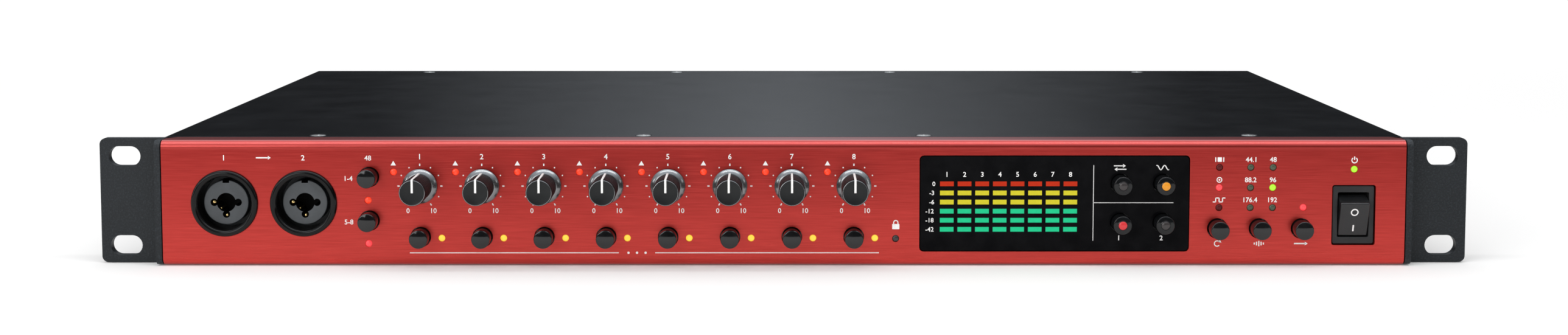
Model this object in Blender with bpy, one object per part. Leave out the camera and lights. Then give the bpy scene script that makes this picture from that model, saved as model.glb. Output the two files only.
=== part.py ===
"""Rack audio interface, one rack unit high with eight channels: metres, +Z up, front towards -Y."""

import math

import bmesh
import bpy
from mathutils import Matrix

MM = 0.001
GAP = 0.3

# Driving dimensions in millimetres; Y counts from the front plane of the rack ears, Z from the underside
RACK_WIDTH = 482.6
UNIT_HEIGHT = 44.45
UNDERSIDE_LIFT = 0.25
CASE_HALF = 220.4
CASE_BACK = 266.0
SHEET = 1.2

PANEL_HALF = 217.9
PANEL_FRONT = -6.9
PANEL_WALL = 3.0
PANEL_LIP = 2.0
PANEL_LIP_BACK = 3.8
PANEL_ROUND = 2.5
COVER_FRONT = 4.6

EAR_THICK = 3.5
EAR_ROUND = 2.0
EAR_STRIP = 2.2
EAR_FLANGE_BACK = 70.0
SLOT_X = 232.55
SLOT_PITCH = 31.75
SLOT_LENGTH = 11.2
SLOT_HEIGHT = 7.05

CHANNELS = 8
CHANNEL_PITCH = 21.7
KNOB_FIRST_X = -127.35
KNOB_Z = 28.4
KNOB_LENGTH = 17.4
KNOB_CAP_RADIUS = 4.55
KNOB_SKIRT_RADIUS = 6.1
SHAFT_RADIUS = 3.0
KNOB_BUTTON_Z = 10.35

BUTTON_RADIUS = 3.25
BUTTON_LENGTH = 6.3
BUTTON_COLLAR = 1.0
BUTTON_TRAVEL = 1.0
CONTROL_HOLE_RADIUS = 3.6
PANEL_COLLAR = PANEL_WALL + 0.4
WINDOW_COLLAR = PANEL_WALL + 1.9

LAMP_RADIUS = 0.9
LAMP_HOLE_RADIUS = 1.25
LAMP_RECESS = 0.3
OVERLOAD_LAMP = (-9.25, 33.35)
CHANNEL_LAMP = (7.4, 9.95)

JACK_X = (-195.9, -168.2)
JACK_Z = 22.3
JACK_BEZEL_RADIUS = 11.75
JACK_BARREL_RADIUS = 10.3
JACK_CORE_RADIUS = 7.85
JACK_BORE_RADIUS = 3.3
JACK_DEPTH = 26.0

WINDOW = (47.58, 5.2, 142.2, 39.15)
WINDOW_ROUND = 1.5
SWITCH_CENTRE = (199.8, 18.1)
SWITCH_HOLE = (15.2, 21.2)
SWITCH_OPENING = (10.9, 15.8)
SWITCH_FACE = -6.3
ROCKER_AXIS_Y = -2.3
ROCKER_TILT = math.radians(17.0)
ROCKER_HALF_HEIGHT = 6.3
ROCKER_REACH = 5.5

SCREW_X = (-166.0, -50.0, 50.0, 166.0)
SCREW_ROWS = {"front": 9.2, "rear": 260.3}
REAR_Z = 22.0
REAR_JACK_FIRST_X = -190.0
REAR_JACK_PITCH = 28.0
OPTICAL_X = 0.0
OPTICAL_PORTS = 4
OPTICAL_PITCH = 12.0
CLOCK_X = (47.0, 65.0)
CLOCK_END = 276.0
MULTIPIN_X = 112.0
INLET_X = 185.0
BOARD_FRONT = 6.5
BOARD_THICK = 1.6

KNOB_XS = [KNOB_FIRST_X + i * CHANNEL_PITCH for i in range(CHANNELS)]
REAR_JACK_XS = [REAR_JACK_FIRST_X + i * REAR_JACK_PITCH for i in range(CHANNELS - 2)]
OPTICAL_XS = [OPTICAL_X + (i - (OPTICAL_PORTS - 1) / 2) * OPTICAL_PITCH for i in range(OPTICAL_PORTS)]
LONE_BUTTONS = {
    "phantom_button_low": (-145.2, 31.6),
    "phantom_button_high": (-145.2, 16.2),
    "clock_button": (152.1, 13.35),
    "rate_button": (166.75, 13.35),
    "route_button": (181.5, 13.35),
}
WINDOW_BUTTONS = {
    "insert_button": (118.05, 29.1),
    "tone_button": (132.95, 29.1),
    "instrument_button_1": (118.05, 15.3),
    "instrument_button_2": (132.95, 15.3),
}
PANEL_BUTTONS = {f"channel_button_{i + 1}": (x, KNOB_BUTTON_Z) for i, x in enumerate(KNOB_XS)}
PANEL_BUTTONS.update(LONE_BUTTONS)
PHANTOM_LAMPS = ((-145.6, 23.35), (-145.6, 8.05))
LOCK_LAMP = (39.25, 9.8)
OVERLOAD_LAMPS = [(x + OVERLOAD_LAMP[0], OVERLOAD_LAMP[1]) for x in KNOB_XS]
CHANNEL_LAMPS = [(x + CHANNEL_LAMP[0], CHANNEL_LAMP[1]) for x in KNOB_XS]
CLOCK_LAMPS = [(x, z) for x in (152.55, 163.5, 171.3) for z in (34.98, 27.82, 20.75)]
ROUTE_LAMP = (182.1, 20.8)
POWER_LAMP = (199.75, 34.3)
ALL_LAMPS = OVERLOAD_LAMPS + CHANNEL_LAMPS + CLOCK_LAMPS + list(PHANTOM_LAMPS)
ALL_LAMPS += [LOCK_LAMP, ROUTE_LAMP, POWER_LAMP]

FRONT_MOST = PANEL_FRONT - KNOB_LENGTH
CENTRE_Y = (FRONT_MOST + CLOCK_END) / 2


def clear_scene():
    """Removes whatever the open file holds."""
    for obj in list(bpy.data.objects):
        bpy.data.objects.remove(obj)


def finish(name, colour, roughness, metallic):
    """A plain surface finish."""
    material = bpy.data.materials.new(name)
    material.use_nodes = True
    shader = material.node_tree.nodes["Principled BSDF"]
    shader.inputs["Base Color"].default_value = (*colour, 1.0)
    shader.inputs["Roughness"].default_value = roughness
    shader.inputs["Metallic"].default_value = metallic
    return material


def arc(centre, radius, start, end, steps):
    """Points of an arc between two angles in degrees."""
    angles = [math.radians(start + (end - start) * i / steps) for i in range(steps + 1)]
    return [(centre[0] + radius * math.cos(a), centre[1] + radius * math.sin(a)) for a in angles]


def rounded_outline(x0, z0, x1, z1, radius, steps=3):
    """Outline of a rectangle with round corners."""
    corners = (
        ((x1 - radius, z0 + radius), -90),
        ((x1 - radius, z1 - radius), 0),
        ((x0 + radius, z1 - radius), 90),
        ((x0 + radius, z0 + radius), 180),
    )
    return [p for centre, start in corners for p in arc(centre, radius, start, start + 90, steps)]


def add_box(bm, low, high):
    """A box between two corners."""
    size = [(b - a) * MM for a, b in zip(low, high)]
    middle = [(a + b) / 2 * MM for a, b in zip(low, high)]
    matrix = Matrix.Translation(middle) @ Matrix.Diagonal((*size, 1.0))
    bmesh.ops.create_cube(bm, size=1.0, matrix=matrix)


def add_prism(bm, outline, axis, start, end):
    """An outline pushed along X, Y or Z; its points hold the other two coordinates in order."""
    def place(point):
        values = list(point)
        values.insert("XYZ".index(axis), start)
        return [v * MM for v in values]

    face = bm.faces.new([bm.verts.new(place(p)) for p in outline])
    pushed = bmesh.ops.extrude_face_region(bm, geom=[face])
    verts = [v for v in pushed["geom"] if isinstance(v, bmesh.types.BMVert)]
    shift = [(end - start) * MM if letter == axis else 0.0 for letter in "XYZ"]
    bmesh.ops.translate(bm, verts=verts, vec=shift)


def add_turned(bm, profile, segments, centre=(0.0, 0.0, 0.0), axis="Y"):
    """A profile of (radius, distance along the axis) points from axis to axis, spun once round it."""
    def place(radius, along):
        offset = (radius, along, 0.0) if axis == "Y" else (radius, 0.0, along)
        return [(c + o) * MM for c, o in zip(centre, offset)]

    verts = [bm.verts.new(place(r, y)) for r, y in profile]
    edges = [bm.edges.new(pair) for pair in zip(verts, verts[1:])]
    turn = (0.0, 1.0, 0.0) if axis == "Y" else (0.0, 0.0, 1.0)
    middle = [c * MM for c in centre]
    geometry = verts + edges
    bmesh.ops.spin(bm, geom=geometry, cent=middle, axis=turn, angle=math.tau, steps=segments, use_merge=True)
    bmesh.ops.remove_doubles(bm, verts=bm.verts, dist=0.001 * MM)


def add_rod(bm, radius, x, z, start, end, segments):
    """A round rod along Y."""
    profile = [(0.0, start), (radius, start), (radius, end), (0.0, end)]
    add_turned(bm, profile, segments, (x, 0.0, z))


def new_object(name, build, location=(0.0, 0.0, 0.0)):
    """An object whose mesh is filled by a build function, parented to the unit's origin."""
    mesh = bpy.data.meshes.new(name)
    bm = bmesh.new()
    build(bm)
    bmesh.ops.recalc_face_normals(bm, faces=bm.faces)
    bm.to_mesh(mesh)
    bm.free()
    obj = bpy.data.objects.new(name, mesh)
    bpy.context.scene.collection.objects.link(obj)
    obj.location = [v * MM for v in location]
    obj.parent = bpy.data.objects["unit_origin"]
    return obj


def piece(name, build, material, location=(0.0, 0.0, 0.0)):
    """A sub-part with its finish, smooth where it is round."""
    obj = new_object(name, build, location)
    obj.data.materials.append(material)
    obj.data.shade_smooth()
    obj.data.set_sharp_from_angle(angle=math.radians(35))
    return obj


def boolean(obj, operation, build):
    """Joins a helper shape to an object, or cuts it away."""
    helper = new_object(f"{obj.name}.{operation.lower()}{len(obj.modifiers)}", build, obj.location / MM)
    helper.hide_render = True
    helper.display_type = "WIRE"
    modifier = obj.modifiers.new(operation.title(), "BOOLEAN")
    modifier.operation = operation
    modifier.solver = "EXACT"
    modifier.object = helper


def make_origin():
    """The unit's origin, at the middle of its footprint."""
    origin = bpy.data.objects.new("unit_origin", None)
    bpy.context.scene.collection.objects.link(origin)
    origin.location = (0.0, -CENTRE_Y * MM, 0.0)


def front_panel(material):
    """Red channel section: face with a lip along its top and bottom, and holes for the controls."""
    low = UNDERSIDE_LIFT
    top = UNIT_HEIGHT
    inner = PANEL_FRONT + PANEL_WALL
    corner_y = PANEL_FRONT + PANEL_ROUND
    outline = [(PANEL_LIP_BACK, top)]
    outline += arc((corner_y, top - PANEL_ROUND), PANEL_ROUND, 90, 180, 4)
    outline += arc((corner_y, low + PANEL_ROUND), PANEL_ROUND, 180, 270, 4)
    outline += [(PANEL_LIP_BACK, low), (PANEL_LIP_BACK, low + PANEL_LIP)]
    outline += [(inner, low + PANEL_LIP), (inner, top - PANEL_LIP), (PANEL_LIP_BACK, top - PANEL_LIP)]
    start = PANEL_FRONT - 1.0
    end = inner + 1.0

    def holes(bm):
        for x in KNOB_XS:
            add_rod(bm, CONTROL_HOLE_RADIUS, x, KNOB_Z, start, end, 12)
        for x, z in PANEL_BUTTONS.values():
            add_rod(bm, CONTROL_HOLE_RADIUS, x, z, start, end, 12)
        for x, z in ALL_LAMPS:
            add_rod(bm, LAMP_HOLE_RADIUS, x, z, start, end, 8)
        for x in JACK_X:
            add_rod(bm, JACK_BARREL_RADIUS + GAP, x, JACK_Z, start, end, 24)
        add_prism(bm, rounded_outline(*WINDOW, WINDOW_ROUND), "Y", start, end)
        x, z = SWITCH_CENTRE
        width, height = SWITCH_HOLE
        add_box(bm, (x - width / 2, start, z - height / 2), (x + width / 2, end, z + height / 2))

    panel = piece("front_panel", lambda bm: add_prism(bm, outline, "X", -PANEL_HALF, PANEL_HALF), material)
    boolean(panel, "DIFFERENCE", holes)


def rack_ear(side, material):
    """Ear plate with two slots, the raised strip beside the panel and a flange along the chassis."""
    inner = PANEL_HALF + GAP
    outer = RACK_WIDTH / 2
    low = UNDERSIDE_LIFT
    top = UNIT_HEIGHT
    plate = [(inner, low)]
    plate += arc((outer - EAR_ROUND, low + EAR_ROUND), EAR_ROUND, -90, 0, 3)
    plate += arc((outer - EAR_ROUND, top - EAR_ROUND), EAR_ROUND, 0, 90, 3)
    plate += [(inner, top)]
    strip = [(EAR_THICK / 2, top - 0.1)]
    strip += arc((PANEL_FRONT + PANEL_ROUND, top - 0.1 - PANEL_ROUND), PANEL_ROUND, 90, 180, 4)
    strip += arc((PANEL_FRONT + PANEL_ROUND, low + 0.1 + PANEL_ROUND), PANEL_ROUND, 180, 270, 4)
    strip += [(EAR_THICK / 2, low + 0.1)]
    flange_in = inner - 0.9
    flange_out = inner + 0.7

    def signed(x0, x1):
        return sorted((side * x0, side * x1))

    def additions(bm):
        add_prism(bm, strip, "X", *signed(inner + 0.1, inner + EAR_STRIP))
        x0, x1 = signed(flange_in, flange_out)
        add_box(bm, (x0, EAR_THICK - 1.0, 3.0), (x1, EAR_FLANGE_BACK, 41.0))

    def slots(bm):
        radius = SLOT_HEIGHT / 2
        straight = SLOT_LENGTH / 2 - radius
        for dz in (-SLOT_PITCH / 2, SLOT_PITCH / 2):
            z = UNIT_HEIGHT / 2 + dz
            outline = arc((side * SLOT_X + straight, z), radius, -90, 90, 6)
            outline += arc((side * SLOT_X - straight, z), radius, 90, 270, 6)
            add_prism(bm, outline, "Y", -1.0, EAR_THICK + 1.0)

    outline = [(side * x, z) for x, z in plate]
    name = "rack_ear_left" if side < 0 else "rack_ear_right"
    ear = piece(name, lambda bm: add_prism(bm, outline, "Y", 0.0, EAR_THICK), material)
    boolean(ear, "UNION", additions)
    boolean(ear, "DIFFERENCE", slots)


def top_cover(material):
    """Folded sheet over the top and both sides, with countersunk screw holes."""
    skirt = 3.0
    bend = 1.5
    inside = CASE_HALF - SHEET
    outline = [(-CASE_HALF, skirt), (-inside, skirt), (-inside, UNIT_HEIGHT - SHEET)]
    outline += [(inside, UNIT_HEIGHT - SHEET), (inside, skirt), (CASE_HALF, skirt)]
    outline += arc((CASE_HALF - bend, UNIT_HEIGHT - bend), bend, 0, 90, 3)
    outline += arc((bend - CASE_HALF, UNIT_HEIGHT - bend), bend, 90, 180, 3)

    def screw_holes(bm):
        for y in SCREW_ROWS.values():
            for x in SCREW_X:
                add_upright_hole(bm, 3.1, x, y, UNIT_HEIGHT - SHEET - 1.0, UNIT_HEIGHT + 1.0)

    cover = piece("top_cover", lambda bm: add_prism(bm, outline, "Y", COVER_FRONT, CASE_BACK), material)
    boolean(cover, "DIFFERENCE", screw_holes)


def add_upright_hole(bm, radius, x, y, start, end):
    """A round upright hole cutter."""
    profile = [(0.0, start), (radius, start), (radius, end), (0.0, end)]
    add_turned(bm, profile, 12, (x, y, 0.0), "Z")


def chassis_tray(material):
    """Bottom plate, side walls and the two strips under the cover that take its screws."""
    front = PANEL_LIP_BACK + 2 * GAP
    back = CASE_BACK - 2.0
    wall = 216.2
    strip_top = UNIT_HEIGHT - SHEET - 0.6

    def additions(bm):
        for side in (-1, 1):
            x0, x1 = sorted((side * (wall - SHEET), side * wall))
            add_box(bm, (x0, front + 0.1, SHEET / 2), (x1, back - 0.1, strip_top))

    def strips(bm):
        inner = wall - SHEET / 2
        for y0, y1 in ((front + 0.2, front + 12.0), (back - 14.0, back - 0.2)):
            add_box(bm, (-inner, y0, strip_top - SHEET), (inner, y1, strip_top - 0.1))

    def screw_holes(bm):
        for y in SCREW_ROWS.values():
            for x in SCREW_X:
                add_upright_hole(bm, 1.9, x, y, strip_top - SHEET - 1.0, strip_top + 1.0)

    low = (GAP - CASE_HALF + SHEET, front, 0.0)
    high = (CASE_HALF - SHEET - GAP, back, SHEET)
    tray = piece("chassis_tray", lambda bm: add_box(bm, low, high), material)
    boolean(tray, "UNION", additions)
    boolean(tray, "UNION", strips)
    boolean(tray, "DIFFERENCE", screw_holes)


def rear_panel(material):
    """Rear plate with a cut-out for each connector."""
    half = CASE_HALF - SHEET - 2 * GAP
    front = CASE_BACK - 1.6
    start = front - 1.0
    end = CASE_BACK + 1.0

    def window(bm, x, width, height):
        add_box(bm, (x - width / 2, start, REAR_Z - height / 2), (x + width / 2, end, REAR_Z + height / 2))

    def holes(bm):
        for x in REAR_JACK_XS:
            add_rod(bm, JACK_BARREL_RADIUS + GAP, x, REAR_Z, start, end, 16)
        for x in CLOCK_X:
            add_rod(bm, 5.2, x, REAR_Z, start, end, 12)
        window(bm, OPTICAL_X, 50.6, 11.6)
        window(bm, MULTIPIN_X, 40.8, 10.4)
        window(bm, INLET_X, 27.2, 20.2)

    low = (-half, front, SHEET + GAP)
    high = (half, CASE_BACK, UNIT_HEIGHT - SHEET - GAP)
    panel = piece("rear_panel", lambda bm: add_box(bm, low, high), material)
    boolean(panel, "DIFFERENCE", holes)


def cover_screw(name, x, y, material):
    """Countersunk screw through the cover into the strip below."""
    top = UNIT_HEIGHT + 0.05
    profile = [(0.0, top), (2.55, top), (2.75, top - 0.25), (1.5, top - 1.4), (1.5, top - 4.2), (0.0, top - 4.2)]
    piece(name, lambda bm: add_turned(bm, profile, 12, axis="Z"), material, (x, y, 0.0))


def combo_jack(name, x, y, z, facing, segments, material):
    """Combination socket: bezel, barrel, ring gap and core with a bore and three contact holes."""
    groove = 9.4
    profile = [(0.0, 24.0), (JACK_BORE_RADIUS, 24.0), (JACK_BORE_RADIUS, 2.2), (JACK_CORE_RADIUS, 2.2)]
    profile += [(JACK_CORE_RADIUS, 9.5), (groove, 9.5), (groove, 0.2), (10.2, -0.9), (11.0, -1.3)]
    profile += [(JACK_BEZEL_RADIUS, -0.9), (JACK_BEZEL_RADIUS, -GAP), (JACK_BARREL_RADIUS, -GAP)]
    profile += [(JACK_BARREL_RADIUS, JACK_DEPTH), (0.0, JACK_DEPTH)]

    def contacts(bm):
        for degrees in (0, 180, 270):
            dx, dz = arc((0.0, 0.0), 5.5, degrees, degrees, 1)[0]
            add_rod(bm, 1.3, dx, dz, 1.2 * facing, 12.0 * facing, 8)

    turned = [(r, d * facing) for r, d in profile]
    jack = piece(name, lambda bm: add_turned(bm, turned, segments), material, (x, y, z))
    boolean(jack, "DIFFERENCE", contacts)


def gain_knob(name, x, material):
    """Tapered knob with a conical skirt and the shaft that it turns."""
    profile = [(0.0, -KNOB_LENGTH), (4.2, -KNOB_LENGTH), (KNOB_CAP_RADIUS, 0.4 - KNOB_LENGTH), (4.75, -3.2)]
    profile += [(KNOB_SKIRT_RADIUS, -1.0), (KNOB_SKIRT_RADIUS, -0.5), (SHAFT_RADIUS, -0.5)]
    profile += [(SHAFT_RADIUS, 7.5), (0.0, 7.5)]
    piece(name, lambda bm: add_turned(bm, profile, 16), material, (x, PANEL_FRONT, KNOB_Z))


def push_button(name, x, z, collar, material):
    """Round button with a collar that keeps it behind the panel."""
    profile = [(0.0, -BUTTON_LENGTH), (2.4, -BUTTON_LENGTH), (3.05, 0.5 - BUTTON_LENGTH)]
    end = collar + BUTTON_COLLAR
    profile += [(BUTTON_RADIUS, 1.2 - BUTTON_LENGTH), (BUTTON_RADIUS, collar), (4.2, collar), (4.2, end), (0.0, end)]
    piece(name, lambda bm: add_turned(bm, profile, 14), material, (x, PANEL_FRONT, z))


def meter_window(material):
    """Dark window with a flange behind the panel and holes for four buttons."""
    x0, z0, x1, z1 = WINDOW
    face = rounded_outline(x0 + GAP, z0 + GAP, x1 - GAP, z1 - GAP, WINDOW_ROUND)
    back = PANEL_FRONT + PANEL_WALL + 0.4
    border = 1.4

    def flange(bm):
        add_box(bm, (x0 - border, back, z0 - border), (x1 + border, back + 1.1, z1 + border))

    def holes(bm):
        for x, z in WINDOW_BUTTONS.values():
            add_rod(bm, CONTROL_HOLE_RADIUS, x, z, PANEL_FRONT - 1.0, back + 2.0, 12)

    window = piece("meter_window", lambda bm: add_prism(bm, face, "Y", PANEL_FRONT + 0.1, back + 0.6), material)
    boolean(window, "UNION", flange)
    boolean(window, "DIFFERENCE", holes)


def switch_frame(material):
    """Bezel and body of the mains switch, open in front for the paddle."""
    x, z = SWITCH_CENTRE
    back = PANEL_FRONT + PANEL_WALL + 0.4

    def add_block(bm, width, height, start, end):
        add_box(bm, (x - width / 2, start, z - height / 2), (x + width / 2, end, z + height / 2))

    width, height = (side - 2 * GAP for side in SWITCH_HOLE)
    frame = piece("switch_frame", lambda bm: add_block(bm, width, height, SWITCH_FACE, 8.0), material)
    boolean(frame, "UNION", lambda bm: add_block(bm, width + 3.0, height + 3.0, back, back + 1.0))
    boolean(frame, "DIFFERENCE", lambda bm: add_block(bm, *SWITCH_OPENING, SWITCH_FACE - 1.0, 5.5))


def power_rocker(material):
    """Paddle of the mains switch, its lower end pressed in."""
    half = SWITCH_OPENING[0] / 2 - GAP
    square = [(-ROCKER_REACH, ROCKER_HALF_HEIGHT), (-ROCKER_REACH, -ROCKER_HALF_HEIGHT)]
    square += [(1.5, -5.0), (3.0, 0.0), (1.5, 5.0)]
    cosine = math.cos(ROCKER_TILT)
    sine = math.sin(ROCKER_TILT)
    tilted = [(y * cosine - z * sine, y * sine + z * cosine) for y, z in square]
    x, z = SWITCH_CENTRE
    paddle = piece("power_rocker", lambda bm: add_prism(bm, tilted, "X", -half, half), material, (x, ROCKER_AXIS_Y, z))
    bevel = paddle.modifiers.new("Edges", "BEVEL")
    bevel.width = 0.3 * MM
    bevel.segments = 2
    bevel.limit_method = "ANGLE"


def light_guide(name, bar, tabs, lamps, material):
    """Clear moulding behind the panel with a round post to each lamp hole."""
    front = PANEL_FRONT + PANEL_WALL + 0.6
    back = front + 1.7

    def slab(bm, box, inset):
        x0, z0, x1, z1 = box
        add_box(bm, (x0, front + inset, z0), (x1, back - inset, z1))

    def posts(bm):
        for x, z in lamps:
            add_rod(bm, LAMP_RADIUS, x, z, PANEL_FRONT + LAMP_RECESS, front + 0.8, 8)

    guide = piece(name, lambda bm: slab(bm, bar, 0.0), material)
    for box in tabs:
        boolean(guide, "UNION", lambda bm, box=box: slab(bm, box, 0.1))
    boolean(guide, "UNION", posts)


def light_guides(material):
    """Three mouldings: overload lamps, channel and phantom lamps, clock and power lamps."""
    half = 1.4
    x0 = OVERLOAD_LAMPS[0][0] - half
    x1 = OVERLOAD_LAMPS[-1][0] + half
    z = OVERLOAD_LAMP[1]
    light_guide("overload_light_guide", (x0, z - 1.1, x1, z + 2.5), (), OVERLOAD_LAMPS, material)

    bar_low = 2.8
    bar_high = 5.5
    bend_x = PHANTOM_LAMPS[0][0] - 5.5
    bar = (bend_x - half, bar_low, LOCK_LAMP[0] + half, bar_high)
    channel = CHANNEL_LAMPS + [LOCK_LAMP, PHANTOM_LAMPS[1]]
    tabs = [(x - half, bar_high - 1.0, x + half, z + half) for x, z in channel]
    x, z = PHANTOM_LAMPS[0]
    tabs.append((bend_x - half + 0.1, bar_high - 1.0, bend_x + half, z + half))
    tabs.append((bend_x - half + 0.2, z - half, x + half, z + half - 0.2))
    light_guide("channel_light_guide", bar, tabs, channel + [PHANTOM_LAMPS[0]], material)

    xs = [x for x, _ in CLOCK_LAMPS] + [ROUTE_LAMP[0]]
    zs = [z for _, z in CLOCK_LAMPS]
    plate = (min(xs) - half, min(zs) - half, max(xs) + half, max(zs) + half)
    arm = (max(xs), POWER_LAMP[1] - half, POWER_LAMP[0] + half, POWER_LAMP[1] + half)
    light_guide("clock_light_guide", plate, [arm], CLOCK_LAMPS + [ROUTE_LAMP, POWER_LAMP], material)


def front_board(material):
    """Upright circuit board with the potentiometers, button switches and meter block soldered to it."""
    pot = 5.0
    key = 3.0

    def parts(bm):
        end = BOARD_FRONT + 0.5
        for x in KNOB_XS:
            add_box(bm, (x - pot, 1.2, KNOB_Z - pot), (x + pot, end, KNOB_Z + pot))
        for buttons, collar in ((PANEL_BUTTONS, PANEL_COLLAR), (WINDOW_BUTTONS, WINDOW_COLLAR)):
            front = PANEL_FRONT + collar + BUTTON_COLLAR + BUTTON_TRAVEL + GAP
            for x, z in buttons.values():
                add_box(bm, (x - key, front, z - key), (x + key, end, z + key))
        add_box(bm, (53.0, -1.6, 10.0), (104.0, end, 32.0))

    low = (-155.0, BOARD_FRONT, 3.2)
    high = (188.0, BOARD_FRONT + BOARD_THICK, 39.8)
    board = piece("front_board", lambda bm: add_box(bm, low, high), material)
    boolean(board, "UNION", parts)


def main_board(material):
    """Flat circuit board on pillars, with its larger components."""
    z = 8.0
    pillars = [(x, y) for x in (-142.0, 107.0) for y in (50.0, 218.0)]
    blocks = [(-110.0, 90.0, 28.0, 28.0, 3.0), (-20.0, 120.0, 24.0, 24.0, 2.4), (60.0, 80.0, 18.0, 30.0, 14.0)]
    blocks += [(-60.0 + 14.0 * i, 180.0, 8.0, 8.0, 11.0) for i in range(9)]

    def parts(bm):
        for x, y in pillars:
            add_box(bm, (x - 3.0, y - 3.0, SHEET + GAP), (x + 3.0, y + 3.0, z + 0.5))
        for x, y, width, depth, height in blocks:
            low = (x - width / 2, y - depth / 2, z + BOARD_THICK - 0.5)
            high = (x + width / 2, y + depth / 2, z + BOARD_THICK + height)
            add_box(bm, low, high)

    board = piece("main_board", lambda bm: add_box(bm, (-150.0, 40.0, z), (115.0, 228.0, z + BOARD_THICK)), material)
    boolean(board, "UNION", parts)


def power_supply(material):
    """Open-frame supply on its own board: transformer, storage capacitors and heat sink."""
    z = 6.0
    blocks = [(168.0, 120.0, 40.0, 38.0, 28.0), (150.0, 180.0, 16.0, 16.0, 24.0), (172.0, 180.0, 16.0, 16.0, 24.0)]
    blocks += [(192.0, 175.0, 6.0, 60.0, 26.0)]

    def parts(bm):
        for x in (137.0, 199.0):
            for y in (70.0, 220.0):
                add_box(bm, (x - 3.0, y - 3.0, SHEET + GAP), (x + 3.0, y + 3.0, z + 0.5))
        for x, y, width, depth, height in blocks:
            low = (x - width / 2, y - depth / 2, z + BOARD_THICK - 0.5)
            high = (x + width / 2, y + depth / 2, z + BOARD_THICK + height)
            add_box(bm, low, high)

    supply = piece("power_supply", lambda bm: add_box(bm, (130.0, 62.0, z), (206.0, 228.0, z + BOARD_THICK)), material)
    boolean(supply, "UNION", parts)


def rear_block(bm, x, width, height, start, end):
    """A box centred on the rear panel's connector line."""
    add_box(bm, (x - width / 2, start, REAR_Z - height / 2), (x + width / 2, end, REAR_Z + height / 2))


def mains_inlet(material):
    """Three-pole mains inlet with its recess and blades."""
    flange = CASE_BACK + GAP
    floor = CASE_BACK - 14.0

    def blades(bm):
        for dx, dz in ((-7.0, -2.0), (7.0, -2.0), (0.0, 2.0)):
            low = (INLET_X + dx - 1.0, floor - 1.0, REAR_Z + dz - 2.0)
            add_box(bm, low, (INLET_X + dx + 1.0, CASE_BACK - 2.0, REAR_Z + dz + 2.0))

    body = piece("mains_inlet", lambda bm: rear_block(bm, INLET_X, 26.4, 19.4, 240.0, flange + 1.0), material)
    boolean(body, "UNION", lambda bm: rear_block(bm, INLET_X, 31.0, 24.0, flange, flange + 2.0))
    boolean(body, "DIFFERENCE", lambda bm: rear_block(bm, INLET_X, 24.0, 16.4, floor, flange + 3.0))
    boolean(body, "UNION", blades)


def optical_ports(material):
    """Row of optical sockets in one block."""
    face = CASE_BACK + 0.8

    def openings(bm):
        for x in OPTICAL_XS:
            rear_block(bm, x, 7.0, 7.0, face - 7.0, face + 1.0)

    block = piece("optical_ports", lambda bm: rear_block(bm, OPTICAL_X, 50.0, 11.0, 246.0, face), material)
    boolean(block, "DIFFERENCE", openings)


def clock_sockets(material):
    """Two bayonet sockets on one block behind the rear panel."""
    middle = sum(CLOCK_X) / len(CLOCK_X)
    profile = [(0.0, CLOCK_END - 3.0), (1.2, CLOCK_END - 3.0), (1.2, CASE_BACK + 2.0), (3.6, CASE_BACK + 2.0)]
    profile += [(3.6, CLOCK_END), (4.8, CLOCK_END), (4.8, CASE_BACK - 5.0), (0.0, CASE_BACK - 5.0)]

    def barrels(bm):
        for x in CLOCK_X:
            add_turned(bm, profile, 14, (x, 0.0, REAR_Z))

    block = piece("clock_sockets", lambda bm: rear_block(bm, middle, 32.0, 14.0, 246.0, CASE_BACK - 2.0), material)
    boolean(block, "UNION", barrels)


def multipin_connector(material):
    """Multi-pole socket: body, flange and slanted-sided shell."""
    flange = CASE_BACK + GAP
    long_half = 19.3
    short_half = 17.9
    half = 4.2
    shell = [(MULTIPIN_X - long_half, REAR_Z + half), (MULTIPIN_X - short_half, REAR_Z - half)]
    shell += [(MULTIPIN_X + short_half, REAR_Z - half), (MULTIPIN_X + long_half, REAR_Z + half)]
    build = lambda bm: rear_block(bm, MULTIPIN_X, 40.0, 9.6, 248.0, flange + 0.5)
    connector = piece("multipin_connector", build, material)
    boolean(connector, "UNION", lambda bm: rear_block(bm, MULTIPIN_X, 53.0, 12.5, flange, flange + 1.0))
    boolean(connector, "UNION", lambda bm: add_prism(bm, shell, "Y", flange + 0.4, flange + 6.0))


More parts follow.
